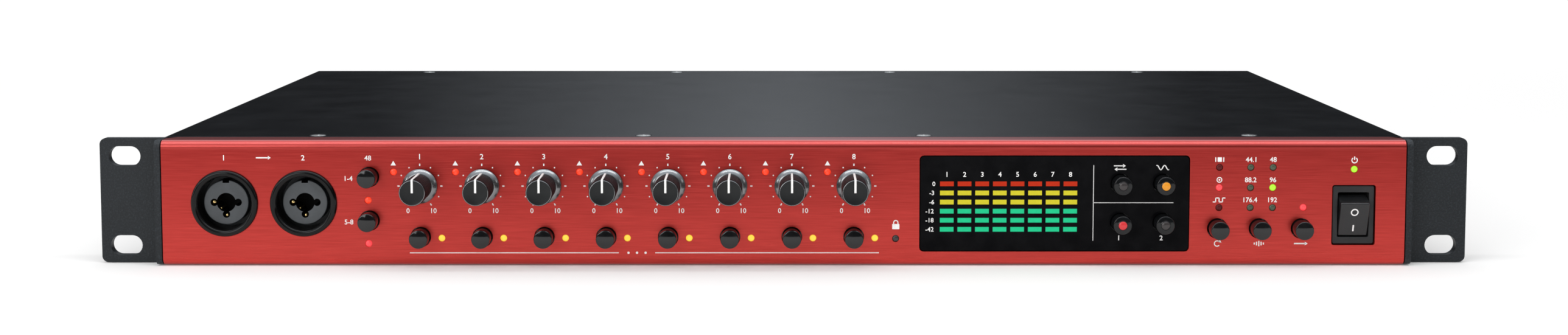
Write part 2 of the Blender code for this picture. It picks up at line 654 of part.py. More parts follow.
def main():
    clear_scene()
    make_origin()
    red = finish("red_lacquer", (0.36, 0.012, 0.02), 0.35, 0.6)
    black_metal = finish("black_powder_coat", (0.012, 0.012, 0.013), 0.5, 0.3)
    black_plastic = finish("black_plastic", (0.01, 0.01, 0.011), 0.35, 0.0)
    steel = finish("bright_steel", (0.6, 0.6, 0.6), 0.3, 1.0)
    clear_plastic = finish("clear_plastic", (0.8, 0.8, 0.78), 0.2, 0.0)
    board_green = finish("board_laminate", (0.02, 0.09, 0.04), 0.5, 0.0)
    dark_window = finish("dark_window", (0.006, 0.006, 0.007), 0.12, 0.0)
    button_grey = finish("smoked_button", (0.12, 0.12, 0.125), 0.2, 0.0)

    front_panel(red)
    for side in (-1, 1):
        rack_ear(side, black_metal)
    top_cover(black_metal)
    chassis_tray(black_metal)
    rear_panel(black_metal)
    for row, y in SCREW_ROWS.items():
        for number, x in enumerate(SCREW_X, 1):
            cover_screw(f"cover_screw_{row}_{number}", x, y, steel)
    for number, x in enumerate(JACK_X, 1):
        combo_jack(f"combo_jack_{number}", x, PANEL_FRONT, JACK_Z, 1, 24, black_plastic)
    for number, x in enumerate(REAR_JACK_XS, len(JACK_X) + 1):
        combo_jack(f"rear_jack_{number}", x, CASE_BACK, REAR_Z, -1, 12, black_plastic)
    for number, x in enumerate(KNOB_XS, 1):
        gain_knob(f"gain_knob_{number}", x, black_plastic)
    for name, (x, z) in PANEL_BUTTONS.items():
        push_button(name, x, z, PANEL_COLLAR, black_plastic)
    for name, (x, z) in WINDOW_BUTTONS.items():
        push_button(name, x, z, WINDOW_COLLAR, button_grey)
    meter_window(dark_window)
    switch_frame(black_plastic)
    power_rocker(black_plastic)
    light_guides(clear_plastic)
    front_board(board_green)
    main_board(board_green)
    power_supply(board_green)
    mains_inlet(black_plastic)
    optical_ports(black_plastic)
    clock_sockets(steel)
    multipin_connector(steel)


main()
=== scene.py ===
# %% [markdown]
# A rack audio interface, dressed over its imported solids. The solids give every place and size; this
# lesson gives each surface the shape and finish that the eye expects of it. Lengths below are written
# in millimetres and turned into metres where a mesh is made.

# %% Frame and units
import math

import bmesh
import bpy
from mathutils import Matrix, Vector


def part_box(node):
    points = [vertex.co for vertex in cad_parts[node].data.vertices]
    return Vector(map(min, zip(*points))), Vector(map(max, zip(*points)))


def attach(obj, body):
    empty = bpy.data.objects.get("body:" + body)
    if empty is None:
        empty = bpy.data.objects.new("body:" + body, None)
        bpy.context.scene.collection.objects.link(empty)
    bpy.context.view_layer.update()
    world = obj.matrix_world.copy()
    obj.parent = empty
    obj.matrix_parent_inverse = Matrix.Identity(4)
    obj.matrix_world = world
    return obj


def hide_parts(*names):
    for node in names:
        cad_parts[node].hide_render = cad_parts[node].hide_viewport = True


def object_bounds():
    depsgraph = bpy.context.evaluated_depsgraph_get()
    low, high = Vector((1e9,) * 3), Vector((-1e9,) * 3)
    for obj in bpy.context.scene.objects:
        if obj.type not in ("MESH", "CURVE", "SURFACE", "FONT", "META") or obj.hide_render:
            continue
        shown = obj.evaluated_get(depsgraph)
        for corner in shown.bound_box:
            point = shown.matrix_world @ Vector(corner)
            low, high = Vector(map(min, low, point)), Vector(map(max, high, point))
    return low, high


MM = 0.001
ORIGIN = Vector((0.0, 0.0, 0.0))
CHANNELS = 8
EAR_FRONT = 6.9
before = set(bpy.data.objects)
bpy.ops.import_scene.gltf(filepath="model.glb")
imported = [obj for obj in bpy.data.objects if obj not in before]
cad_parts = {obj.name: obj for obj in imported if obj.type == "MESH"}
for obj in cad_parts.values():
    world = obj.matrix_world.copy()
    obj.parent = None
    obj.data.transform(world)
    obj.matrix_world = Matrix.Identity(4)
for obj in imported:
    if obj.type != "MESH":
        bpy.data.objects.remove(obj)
cad_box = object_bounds()
PANEL_LOW, PANEL_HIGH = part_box("front_panel")
FRONT = PANEL_LOW.y
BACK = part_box("rear_panel")[1].y
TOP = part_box("top_cover")[1].z


def numbered(stem, first=1, last=CHANNELS):
    """Names that end in a number."""
    return [f"{stem}_{i}" for i in range(first, last + 1)]


def middle(node):
    """Centre of a node's box."""
    low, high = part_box(node)
    return (low + high) / 2


def spots(nodes):
    """Millimetres across and up of the centres of nodes."""
    return [(middle(node).x / MM, middle(node).z / MM) for node in nodes]


def on_panel(x, depth, z):
    """A place in the frame from millimetres across, behind the panel's face, and up."""
    return Vector((x * MM, FRONT + depth * MM, z * MM))


KNOBS = spots(numbered("gain_knob"))

# %% [markdown]
# The camera stands where the photographer's did: a little above the unit, looking slightly down. Its
# frame is shifted down, because the picture shows the unit low in a wide strip.

# %% Camera
SENSOR_WIDTH = 36.0
FOCAL_LENGTH = 51.0
CAMERA_PITCH = 0.0852
CAMERA_YAW = 0.0009
CAMERA_PLACE = Vector((-0.6, -778.2 + EAR_FRONT, 138.1))
FRAME_SHIFT = -0.0677


def add_object(name, data):
    """An object at the origin, linked to the scene."""
    obj = bpy.data.objects.new(name, data)
    bpy.context.scene.collection.objects.link(obj)
    return obj


camera_data = bpy.data.cameras.new("portrait_camera")
camera_data.sensor_width = SENSOR_WIDTH
camera_data.lens = FOCAL_LENGTH
camera_data.shift_y = FRAME_SHIFT
camera_data.clip_start = 0.01
camera = add_object("portrait_camera", camera_data)
camera.location = on_panel(*CAMERA_PLACE)
camera.rotation_euler = (math.pi / 2 - CAMERA_PITCH, 0.0, -CAMERA_YAW)
bpy.context.scene.camera = camera
bpy.context.scene.view_settings.view_transform = "Standard"
print("camera at", [round(v, 3) for v in camera.location])

# %% [markdown]
# Node trees are easier to read as arithmetic. A Wire holds one socket: adding or multiplying Wires adds
# Math nodes, and make() adds any other node with its settings and its links.

# %% Wires


class Wire:
    """An output socket that Python operators can extend."""

    def __init__(self, socket):
        self.socket = socket
        self.tree = socket.id_data

    @staticmethod
    def make(tree, kind, inputs=None, settings=None, out=0):
        """Adds a node: settings first, then values or links of its sockets."""
        node = tree.nodes.new(kind)
        for key, value in (settings or {}).items():
            setattr(node, key, value)
        for key, value in (inputs or {}).items():
            if isinstance(value, Wire):
                tree.links.new(value.socket, node.inputs[key])
            else:
                node.inputs[key].default_value = value
        return Wire(node.outputs[out]) if len(node.outputs) else node

    def output(self, name):
        """Another output of the same node."""
        return Wire(self.socket.node.outputs[name])

    def math(self, operation, other, swapped=False):
        pair = {0: other, 1: self} if swapped else {0: self, 1: other}
        return Wire.make(self.tree, "ShaderNodeMath", pair, {"operation": operation})

    def __add__(self, other):
        return self.math("ADD", other)

    def __radd__(self, other):
        return self.math("ADD", other, True)

    def __sub__(self, other):
        return self.math("SUBTRACT", other)

    def __rsub__(self, other):
        return self.math("SUBTRACT", other, True)

    def __mul__(self, other):
        return self.math("MULTIPLY", other)

    def __rmul__(self, other):
        return self.math("MULTIPLY", other, True)


# %% [markdown]
# Every finish starts from one Principled shader. The helpers below give it patterns that are measured in
# the part's own metres: noise stretched along a direction for brushing, or even noise for a cast grain.

# %% Finish helpers
NOISE_ROUGHNESS = 0.6
EVEN = (1.0, 1.0, 1.0)
WHITE = (1.0, 1.0, 1.0, 1.0)


def new_finish(name, colour, roughness, metallic=0.0, specular=0.5, **fixed):
    """A material with a Principled shader; fixed sets sockets that stay the same all over."""
    material = bpy.data.materials.new(name)
    material.use_nodes = True
    shader = material.node_tree.nodes["Principled BSDF"]
    shader.inputs["Base Color"].default_value = (*colour, 1.0)
    shader.inputs["Roughness"].default_value = roughness
    shader.inputs["Metallic"].default_value = metallic
    shader.inputs["Specular IOR Level"].default_value = specular
    for socket, value in fixed.items():
        shader.inputs[socket.replace("_", " ")].default_value = value
    return material, material.node_tree, shader


def tinted(colour, factor, lift=0.0):
    """A colour made paler or darker."""
    return tuple(c * factor + lift for c in colour)


def object_place(tree):
    """The place of a shaded point, in the part's own metres."""
    return Wire.make(tree, "ShaderNodeTexCoord", out="Object")


def axes_of(wire):
    """The X, Y and Z of a vector."""
    split = Wire.make(wire.tree, "ShaderNodeSeparateXYZ", {"Vector": wire})
    return [split.output(axis) for axis in "XYZ"]


def noise(tree, scale, detail=3.0, stretch=EVEN):
    """Noise on object coordinates, scale in cycles for each metre, stretched along each axis."""
    mapped = Wire.make(tree, "ShaderNodeMapping", {"Vector": object_place(tree), "Scale": stretch})
    inputs = {"Vector": mapped, "Scale": scale, "Detail": detail, "Roughness": NOISE_ROUGHNESS}
    return Wire.make(tree, "ShaderNodeTexNoise", inputs)


def contrast(wire, low, high):
    """Spreads the middle of a noise over the range from 0 to 1."""
    return Wire.make(wire.tree, "ShaderNodeMapRange", {"Value": wire, "From Min": low, "From Max": high})


def blend_colours(factor, first, second):
    """Mixes two colours by a wire."""
    inputs = {"Factor": factor, 6: (*first, 1.0), 7: (*second, 1.0)}
    return Wire.make(factor.tree, "ShaderNodeMix", inputs, {"data_type": "RGBA"}, 2)


def link(wire, shader, socket):
    """Feeds a wire to one of the shader's sockets."""
    wire.tree.links.new(wire.socket, shader.inputs[socket])


def bump(height, shader, strength, distance):
    """Raises the surface by a height wire."""
    inputs = {"Height": height, "Strength": strength, "Distance": distance}
    link(Wire.make(height.tree, "ShaderNodeBump", inputs), shader, "Normal")


# %% [markdown]
# The front is brushed aluminium dyed red. Brushing leaves streaks along X that are a hair high and a
# finger wide, so the noise is squeezed along X. The streaks vary the colour, the gloss and the relief.
# A painted shade makes the tone fall with height, and a painted highlight makes the fold along the top
# edge paler than the face; the fold is also glossier.

# %% Brushed red
RED_DEEP = (0.33, 0.009, 0.005)
RED_PALE = (0.62, 0.046, 0.036)
RED_ROUGHNESS = 0.34
BAND_START = 3.6
BAND_END = 1.2
STREAK_RANGE = (0.125, 0.725)


def brushed_red():
    material, tree, shader = new_finish("brushed_red", RED_DEEP, RED_ROUGHNESS, 0.85, Coat_Roughness=0.25)
    fine = noise(tree, 3600.0, 2.0, (0.022, 1.0, 1.0))
    broad = noise(tree, 1100.0, 3.0, (0.012, 1.0, 1.0))
    clouds = noise(tree, 14.0, 2.0, (0.5, 1.0, 1.0))
    height = axes_of(object_place(tree))[2]
    # the fold band: real gloss from the coat, and a painted highlight in the colour
    fold_gloss_and_painted_highlight = contrast(height, PANEL_HIGH.z - BAND_START * MM, PANEL_HIGH.z - BAND_END * MM)
    # painted shade: the colour grows darker with height
    tone = 0.17 - height * 10.5
    # the brushing streaks, with the painted shade and the painted highlight mixed in
    streaks_and_painted_light = contrast(fine * 0.55 + broad * 0.2 + clouds * 0.1 + tone + fold_gloss_and_painted_highlight * 0.3, *STREAK_RANGE)
    link(blend_colours(streaks_and_painted_light, RED_DEEP, RED_PALE), shader, "Base Color")
    link(RED_ROUGHNESS - streaks_and_painted_light * 0.08, shader, "Roughness")
    link(fold_gloss_and_painted_highlight * 0.6 + 0.4, shader, "Coat Weight")
    bump(streaks_and_painted_light, shader, 0.12, 0.00004)
    return material


# %% [markdown]
# The other finishes follow a few recipes. Each lets a noise move the colour and the gloss a little, since
# no real coat, moulding or print is perfectly even; in the powder coat the noise also paints a glint on the
# grain's raised tops.

# %% Recipes


def powder_black(name, colour, grain, strength, roughness, **fixed):
    """Black powder coat: a fine even grain whose raised tops carry a painted glint, and clouds that vary
    the tone.
    """
    material, tree, shader = new_finish(name, colour, roughness, **fixed)
    cells = noise(tree, grain, 2.0)
    clouds = noise(tree, 45.0)
    # painted glint: the grain's raised tops are paler; the clouds vary the tone at random
    painted_glint_and_clouds = contrast(cells, 0.5, 0.7) * 0.6 + clouds * 0.3
    link(blend_colours(painted_glint_and_clouds, colour, tinted(colour, 3.4, 0.004)), shader, "Base Color")
    link(roughness + 0.12 * clouds - 0.06, shader, "Roughness")
    bump(cells, shader, strength, 0.00016)
    return material


def moulded(name, colour, roughness, grain=1800.0, strength=0.08, **fixed):
    """Moulded plastic with faint flow marks and a touch of grain."""
    material, tree, shader = new_finish(name, colour, roughness, **fixed)
    marks = noise(tree, 160.0, 4.0)
    pale = tinted(colour, 1.35, 0.002)
    link(blend_colours(contrast(marks, 0.35, 0.7), colour, pale), shader, "Base Color")
    link(roughness + 0.14 * marks - 0.07, shader, "Roughness")
    bump(noise(tree, grain, 2.0), shader, strength, 0.00004)
    return material


def metal(name, colour, roughness):
    """Plain metal with fine tool marks."""
    material, tree, shader = new_finish(name, colour, roughness, 1.0)
    marks = noise(tree, 1500.0)
    link(blend_colours(contrast(marks, 0.3, 0.7), tinted(colour, 0.86), colour), shader, "Base Color")
    link(roughness + 0.2 * marks - 0.1, shader, "Roughness")
    return material


def printed(name, colour):
    """Screen-printed ink, a little thin in places."""
    material, tree, shader = new_finish(name, colour, 0.5)
    cover = contrast(noise(tree, 3000.0, 2.0), 0.3, 0.55)
    link(blend_colours(cover, tinted(colour, 0.86), colour), shader, "Base Color")
    return material


def lamp(name, colour, glow, body=1.0, **fixed):
    """A lamp's lens: its own colour, and its light where it is lit."""
    deep = tinted(colour, 0.92)
    plain = tinted(colour, body)
    material, tree, shader = new_finish(name, plain, 0.25, **fixed)
    cloud = contrast(noise(tree, 900.0, 2.0), 0.3, 0.7)
    link(blend_colours(cloud, tinted(deep, body), plain), shader, "Base Color")
    if glow:
        link(blend_colours(cloud, deep, colour), shader, "Emission Color")
        shader.inputs["Emission Strength"].default_value = glow
    return material


# %% [markdown]
# Here each recipe is mixed for this unit. Black plastics differ mostly in gloss, and a lit lamp keeps a
# darker body under its light, so that its colour stays deep.

# %% Finishes of this unit
COOL_SHEEN = (0.86, 0.91, 1.0, 1.0)
RED = brushed_red()
EAR_BLACK = powder_black("ear_powder_coat", (0.0062, 0.008, 0.0098), 1700.0, 1.0, 0.42, specular=0.3)
COVER_BLACK = powder_black(
    "cover_powder_coat", (0.0022, 0.0024, 0.0032), 2600.0, 0.12, 0.19,
    specular=0.3, Specular_Tint=COOL_SHEEN,
)
JACK_BLACK = moulded("jack_shell", (0.0024, 0.0023, 0.0023), 0.14, 1800.0, 0.02, specular=0.22)
JACK_CORE = moulded("jack_core", (0.047, 0.053, 0.058), 0.45, 2400.0, 0.2)
KNOB_CAP = moulded("knob_cap", (0.0058, 0.0068, 0.0074), 0.32, specular=0.28)
KNOB_GRIP = moulded("knob_grip", (0.006, 0.006, 0.0065), 0.5, 2600.0, 0.25, specular=0.2)
KNOB_SKIRT = moulded("knob_skirt", (0.2, 0.205, 0.21), 0.22, 900.0, 0.01, metallic=0.85)
KNOB_RIM = metal("knob_rim", (0.34, 0.345, 0.35), 0.28)
BUTTON_BLACK = moulded("button_gloss", (0.005, 0.0052, 0.0056), 0.1, 1200.0, 0.01)
SMOKED = moulded("smoked_button", (0.0045, 0.005, 0.0056), 0.1, 900.0, 0.01, specular=0.35)
WINDOW_BLACK = moulded("window_gloss", (0.002, 0.002, 0.0025), 0.12, 700.0, 0.01, specular=0.035)
SWITCH_GREY = moulded("switch_bezel", (0.018, 0.018, 0.019), 0.45, specular=0.3)
SWITCH_BLACK = moulded("switch_paddle", (0.0075, 0.0082, 0.009), 0.24)
BOARD = moulded("board_laminate", (0.015, 0.07, 0.03), 0.45)
CLEAR = moulded("light_guide", (0.5, 0.5, 0.48), 0.2)
# painted shade: a near-black, dull finish on the walls of holes and on pieces at their backs, where shade
# falls
PAINTED_HOLE_SHADE = moulded("dark_hole", (0.0012, 0.0012, 0.0012), 0.6, specular=0.1)
WHITE_INK = printed("white_ink", (0.86, 0.85, 0.84))
STEEL = metal("bright_steel", (0.72, 0.72, 0.70), 0.28)
DARK_STEEL = metal("turned_steel", (0.46, 0.46, 0.47), 0.34)
GOLD = metal("gold_contact", (0.83, 0.60, 0.25), 0.22)
RED_LIT = lamp("lamp_red_lit", (0.95, 0.05, 0.016), 0.8, 0.6)
PINK_LIT = lamp("lamp_pink_lit", (0.92, 0.058, 0.068), 0.8, 0.6)
LENS_RED = lamp("lens_red_lit", (0.5, 0.024, 0.028), 0.75, 0.6)
YELLOW_LIT = lamp("lamp_yellow_lit", (0.92, 0.62, 0.06), 0.75, 0.6)
GREEN_LIT = lamp("lamp_green_lit", (0.37, 0.80, 0.026), 0.8, 0.6)
ORANGE_LIT = lamp("lamp_orange_lit", (0.64, 0.245, 0.008), 0.75, 0.5)
RED_DARK = lamp("lamp_red_dark", (0.095, 0.009, 0.009), 0.0, specular=0.2)
GREEN_DARK = lamp("lamp_green_dark", (0.056, 0.074, 0.044), 0.0)
GREY_DARK = lamp("lamp_grey_dark", (0.035, 0.03, 0.03), 0.0)
BAR_RED = lamp("meter_red", (0.58, 0.045, 0.018), 0.85, 0.25, specular=0.1)
BAR_YELLOW = lamp("meter_yellow", (0.62, 0.55, 0.026), 0.85, 0.25, specular=0.1)
BAR_GREEN = lamp("meter_green", (0.014, 0.52, 0.235), 0.9, 0.25, specular=0.1)
print("finishes", len(bpy.data.materials))

# %% [markdown]
# Most pieces here are turned, pushed out of an outline, or cut by another shape. An outline is a list of
# points in millimetres.

# %% Outlines


def arc(centre, radius, start, end, steps):
    """Points of an arc between two angles in degrees."""
    turns = [math.radians(start + (end - start) * i / steps) for i in range(steps + 1)]
    return [(centre[0] + radius * math.cos(a), centre[1] + radius * math.sin(a)) for a in turns]


def polar(centre, radius, angle):
    """The point at an angle in degrees from a centre."""
    return arc(centre, radius, angle, angle, 1)[0]


def circle(x, z, radius, steps=32):
    return arc((x, z), radius, 0, 360 - 360 / steps, steps - 1)


def oblong(x0, z0, x1, z1):
    return [(x0, z0), (x1, z0), (x1, z1), (x0, z1)]


def rounded(x0, z0, x1, z1, radius, steps=5):
    """Outline of a rectangle with round corners."""
    first, *others = oblong(x0 + radius, z0 + radius, x1 - radius, z1 - radius)
    outline = []
    for centre, start in zip(others + [first], (-90, 0, 90, 180)):
        outline += arc(centre, radius, start, start + 90, steps)
    return outline


def round_box(x, z, width, height, radius, steps=5):
    """Outline of a rounded rectangle from its middle and its size."""
    return rounded(x - width / 2, z - height / 2, x + width / 2, z + height / 2, radius, steps)


# %% [markdown]
# Each helper below fills a BMesh at its place in the frame, so a finished object needs no transform of
# its own.

# %% Solids from outlines


def prism(bm, outline, start, end, axis="Y", origin=ORIGIN, start_scale=1.0):
    """A closed outline pushed along an axis through an origin; its start can be smaller than its end."""
    def ring(along, scale):
        verts = []
        for point in outline:
            values = [v * scale for v in point]
            values.insert("XYZ".index(axis), along)
            verts.append(bm.verts.new(origin + Vector(values) * MM))
        return verts

    low = ring(start, start_scale)
    high = ring(end, 1.0)
    bm.faces.new(low)
    bm.faces.new(list(reversed(high)))
    for i in range(len(outline)):
        j = (i + 1) % len(outline)
        bm.faces.new((low[j], low[i], high[i], high[j]))


def push(bm, outline, start, end, axis="Y"):
    """A prism measured from the panel's face."""
    prism(bm, outline, start, end, axis, on_panel(0, 0, 0))


def drill(bm, places, radius, start, end, steps=32):
    """Round rods, to cut holes with or to keep."""
    for x, z in places:
        push(bm, circle(x, z, radius, steps), start, end)


def turn(bm, profile, steps, centre=ORIGIN, slots=None, axis="Y"):
    """A profile of (radius, depth) millimetres spun round an axis through a place in the frame."""
    rings = []
    for radius, depth in profile:
        ring = []
        for i in range(steps if radius > 0 else 1):
            a = math.tau * i / steps
            c = radius * math.cos(a)
            s = radius * math.sin(a)
            ring.append(bm.verts.new(centre + Vector((c, depth, s) if axis == "Y" else (c, s, depth)) * MM))
        rings.append(ring)
    for i, (a, b) in enumerate(zip(rings, rings[1:])):
        for k in range(steps):
            n = (k + 1) % steps
            corners = [a[k % len(a)], a[n % len(a)], b[n % len(b)], b[k % len(b)]]
            unique = list(dict.fromkeys(corners))
            if len(unique) > 2:
                bm.faces.new(unique).material_index = slots[i] if slots else 0


# %% [markdown]
# Build functions become objects here. Modifiers do the cutting and the edge rounding, and settle() turns
# their result into the mesh.

# %% Objects and cuts
SMOOTH_ANGLE = 35.0
SAME_POINT = 1e-7


def raw_object(name, build, finishes):
    """An object whose mesh a build function fills."""
    mesh = bpy.data.meshes.new(name)
    bm = bmesh.new()
    build(bm)
    bm.to_mesh(mesh)
    bm.free()
    for finish in finishes:
        mesh.materials.append(finish)
    return add_object(name, mesh)


def mesh_object(name, build, *finishes):
    """An object from a build function, with doubled points merged and all faces turned outwards."""
    def clean(bm):
        build(bm)
        bmesh.ops.remove_doubles(bm, verts=bm.verts, dist=SAME_POINT)
        bmesh.ops.recalc_face_normals(bm, faces=bm.faces)

    return raw_object(name, clean, finishes)


def settle(obj):
    """Turns the evaluated object into a plain mesh without modifiers."""
    graph = bpy.context.evaluated_depsgraph_get()
    mesh = bpy.data.meshes.new_from_object(obj.evaluated_get(graph))
    old = obj.data
    obj.modifiers.clear()
    obj.data = mesh
    mesh.name = obj.name
    bpy.data.meshes.remove(old)
    return obj


def carve(obj, build, operation="DIFFERENCE", finish=None):
    """Cuts a shape from an object, or joins it on; new faces take the finish."""
    helper = mesh_object(obj.name + "_tool", build, finish or obj.data.materials[0])
    modifier = obj.modifiers.new("carve", "BOOLEAN")
    modifier.operation = operation
    modifier.solver = "EXACT"
    modifier.material_mode = "TRANSFER"
    modifier.object = helper
    settle(obj)
    bpy.data.objects.remove(helper)
    return obj


def shade(obj, angle=SMOOTH_ANGLE):
    """Smooth shading that keeps edges sharper than an angle."""
    obj.data.shade_smooth()
    obj.data.set_sharp_from_angle(angle=math.radians(angle))
    return obj


def soften(obj, width, segments=2):
    """Breaks sharp edges and shades what is round smoothly."""
    if width:
        bevel = obj.modifiers.new("edges", "BEVEL")
        bevel.width = width * MM
        bevel.segments = segments
        bevel.limit_method = "ANGLE"
        bevel.angle_limit = math.radians(SMOOTH_ANGLE)
        bevel.harden_normals = False
        settle(obj)
    shade(obj)
    weights = obj.modifiers.new("weights", "WEIGHTED_NORMAL")
    weights.keep_sharp = True
    return settle(obj)


def turned(name, profile, steps, finish, centre=ORIGIN, axis="Y"):
    """A turned piece of one finish."""
    return mesh_object(name, lambda bm: turn(bm, profile, steps, centre, None, axis), finish)


def join(name, parts):
    """One object from several, keeping their finishes."""
    finishes = []

    def gather(bm):
        for part in parts:
            start = len(bm.faces)
            bm.from_mesh(part.data)
            bm.faces.ensure_lookup_table()
            for face in bm.faces[start:]:
                finish = part.data.materials[face.material_index]
                if finish not in finishes:
                    finishes.append(finish)
                face.material_index = finishes.index(finish)
            bpy.data.objects.remove(part)

    return raw_object(name, gather, finishes)


def clone(obj, name, offset, turn_half=False):
    """A copy of an object's mesh moved to its place, half turned about Z if asked."""
    mesh = obj.data.copy()
    rotation = Matrix.Rotation(math.pi, 4, "Z") if turn_half else Matrix.Identity(4)
    mesh.transform(Matrix.Translation(offset) @ rotation)
    return add_object(name, mesh)


def fit(obj, body, slot, *nodes):
    """Makes a piece ride on its body and stand for nodes; the slot is not used."""
    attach(obj, body)
    if nodes:
        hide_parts(*nodes)
    return obj


# %% [markdown]
# What repeats is grown with Geometry Nodes. This first tree sets copies of one shape on points; the
# script turns the result into a plain mesh, because an exported model can't hold instances.

# %% Geometry Nodes helpers


def new_tree(name, **sockets):
    """A geometry tree with named inputs and a finish; returns the tree and its input wires."""
    tree = bpy.data.node_groups.new(name, "GeometryNodeTree")
    sockets["Finish"] = "Material"
    for label, kind in sockets.items():
        tree.interface.new_socket(label, in_out="INPUT", socket_type="NodeSocket" + kind)
    tree.interface.new_socket("Geometry", in_out="OUTPUT", socket_type="NodeSocketGeometry")
    source = tree.nodes.new("NodeGroupInput")
    return tree, {label: Wire(source.outputs[label]) for label in sockets}


def end_tree(wire, finish):
    """Ends a tree: realise the copies, then give them their finish."""
    tree = wire.tree
    real = Wire.make(tree, "GeometryNodeRealizeInstances", {0: wire})
    done = Wire.make(tree, "GeometryNodeSetMaterial", {"Geometry": real, "Material": finish})
    Wire.make(tree, "NodeGroupOutput", {0: done})
    return tree


def vector(tree, **axes):
    """A vector from wires for some of its axes."""
    return Wire.make(tree, "ShaderNodeCombineXYZ", axes)


def copies(points, piece, **more):
    """A copy of a piece on each point."""
    inputs = {"Points": points, "Instance": piece, **more}
    return Wire.make(points.tree, "GeometryNodeInstanceOnPoints", inputs)


def stood(geometry, place):
    """Geometry that was laid out flat, turned to face the front and moved to its place."""
    inputs = {"Geometry": geometry, "Rotation": (math.pi / 2, 0.0, 0.0), "Translation": place}
    return Wire.make(geometry.tree, "GeometryNodeTransform", inputs)


def grow(name, tree, points=(), **values):
    """Runs a tree on an object whose mesh holds only points, and keeps the plain mesh."""
    mesh = bpy.data.meshes.new(name)
    mesh.from_pydata([tuple(p) for p in points], [], [])
    obj = add_object(name, mesh)
    modifier = obj.modifiers.new("grow", "NODES")
    modifier.node_group = tree
    for item in tree.interface.items_tree:
        if item.in_out == "INPUT" and item.name in values:
            modifier[item.identifier] = values[item.name]
    return settle(obj)


def copies_tree():
    """Copies of an object on the points of a mesh."""
    tree, wires = new_tree("copies_on_points", Geometry="Geometry", Piece="Object")
    shape = Wire.make(tree, "GeometryNodeObjectInfo", {"Object": wires["Piece"]}, out="Geometry")
    return end_tree(copies(wires["Geometry"], shape), wires["Finish"])


COPIES = copies_tree()


def copy_on_points(name, shape, finish, points):
    """One mesh with a copy of a shape on each point; the shape itself is removed."""
    obj = grow(name, COPIES, points, Piece=shape, Finish=finish)
    bpy.data.objects.remove(shape)
    return shade(obj)


# %% [markdown]
# The panel is a shallow channel: a face with a lip folded back along its top and bottom. The round fold
# at the top catches the light as a bright band, which a painted highlight in its finish makes brighter,
# so it has many small steps. The holes come last.

# %% Front panel
FOLD = 2.6
PANEL_TOP = PANEL_HIGH.z / MM
PANEL_BOTTOM = PANEL_LOW.z / MM
PANEL_HALF = PANEL_HIGH.x / MM
LIP_BACK = (PANEL_HIGH.y - FRONT) / MM
LIP_THICK = 2.0
LIP_CUT = 3.4
FACE_THICK = 3.0
OVER = 1.0
CONTROL_HOLE = 3.55
LAMP_HOLE = 1.2
JACK_HOLE = 10.6
WINDOW_BOX = (47.58, 5.2, 142.2, 39.15)
WINDOW_ROUND = 1.5
SWITCH_PLACE = (199.8, 18.1)
SWITCH_HOLE = (15.2, 21.2)
SWITCH_ROUND = 0.8

CHANNEL_BUTTONS = numbered("channel_button")
LONE_BUTTONS = ["phantom_button_low", "phantom_button_high", "clock_button", "rate_button", "route_button"]
WINDOW_BUTTONS = ["insert_button", "tone_button", "instrument_button_1", "instrument_button_2"]
JACKS = numbered("combo_jack", 1, 2)
REAR_JACKS = numbered("rear_jack", 3)

OVERLOAD_LAMPS = [(x - 9.25, 33.35) for x, _ in KNOBS]
CHANNEL_LAMPS = [(x + 7.4, 9.95) for x, _ in KNOBS]
PHANTOM_LAMPS = [(-145.6, 23.35), (-145.6, 8.05)]
LOCK_LAMP = (39.25, 9.8)
ROUTE_LAMP = (182.1, 20.8)
POWER_LAMP = (199.75, 34.3)
STATUS_X = (152.55, 163.5, 171.3)
STATUS_Z = (34.98, 27.82, 20.75)
STATUS_LAMPS = [(x, z) for x in STATUS_X for z in STATUS_Z]
LONE_LAMPS = [LOCK_LAMP, ROUTE_LAMP, POWER_LAMP]
ALL_LAMPS = OVERLOAD_LAMPS + CHANNEL_LAMPS + PHANTOM_LAMPS + STATUS_LAMPS + LONE_LAMPS


def panel_shape(bm):
    outline = [(LIP_BACK, PANEL_TOP)]
    outline += arc((FOLD, PANEL_TOP - FOLD), FOLD, 90, 180, 12)
    outline += arc((FOLD, PANEL_BOTTOM + FOLD), FOLD, 180, 270, 12)
    outline += [(LIP_BACK, PANEL_BOTTOM)]
    outline += oblong(LIP_BACK, PANEL_BOTTOM + LIP_THICK, FACE_THICK, PANEL_TOP - LIP_THICK)
    push(bm, outline, -PANEL_HALF, PANEL_HALF, "X")


def panel_holes(bm):
    ends = (-OVER, FACE_THICK + OVER)
    drill(bm, KNOBS + spots(CHANNEL_BUTTONS + LONE_BUTTONS), CONTROL_HOLE, *ends)
    drill(bm, ALL_LAMPS, LAMP_HOLE, *ends, 24)
    drill(bm, spots(JACKS), JACK_HOLE, *ends, 48)
    push(bm, rounded(*WINDOW_BOX, WINDOW_ROUND), *ends)
    push(bm, round_box(*SWITCH_PLACE, *SWITCH_HOLE, SWITCH_ROUND), *ends)


def lip_corners(bm):
    """Slanted rear corners of the lips."""
    back = LIP_BACK + OVER
    for side in (-1, 1):
        edge = side * (PANEL_HALF + OVER)
        inner = side * (PANEL_HALF - LIP_CUT - OVER)
        corner = [(edge, back), (inner, back), (edge, LIP_BACK - LIP_CUT - OVER)]
        push(bm, corner, -OVER, PANEL_TOP + OVER, "Z")


panel = mesh_object("front_panel_face", panel_shape, RED)
carve(panel, panel_holes)
carve(panel, lip_corners)
soften(panel, 0.12)
fit(panel, "case", "red_lacquer", "front_panel")
print("panel faces", len(panel.data.polygons))

# %% [markdown]
# The ears are black powder-coated plates with long slots. Each carries a strip beside the panel and a
# flange along the chassis. Their edges are broken, so a thin line of light runs round them.

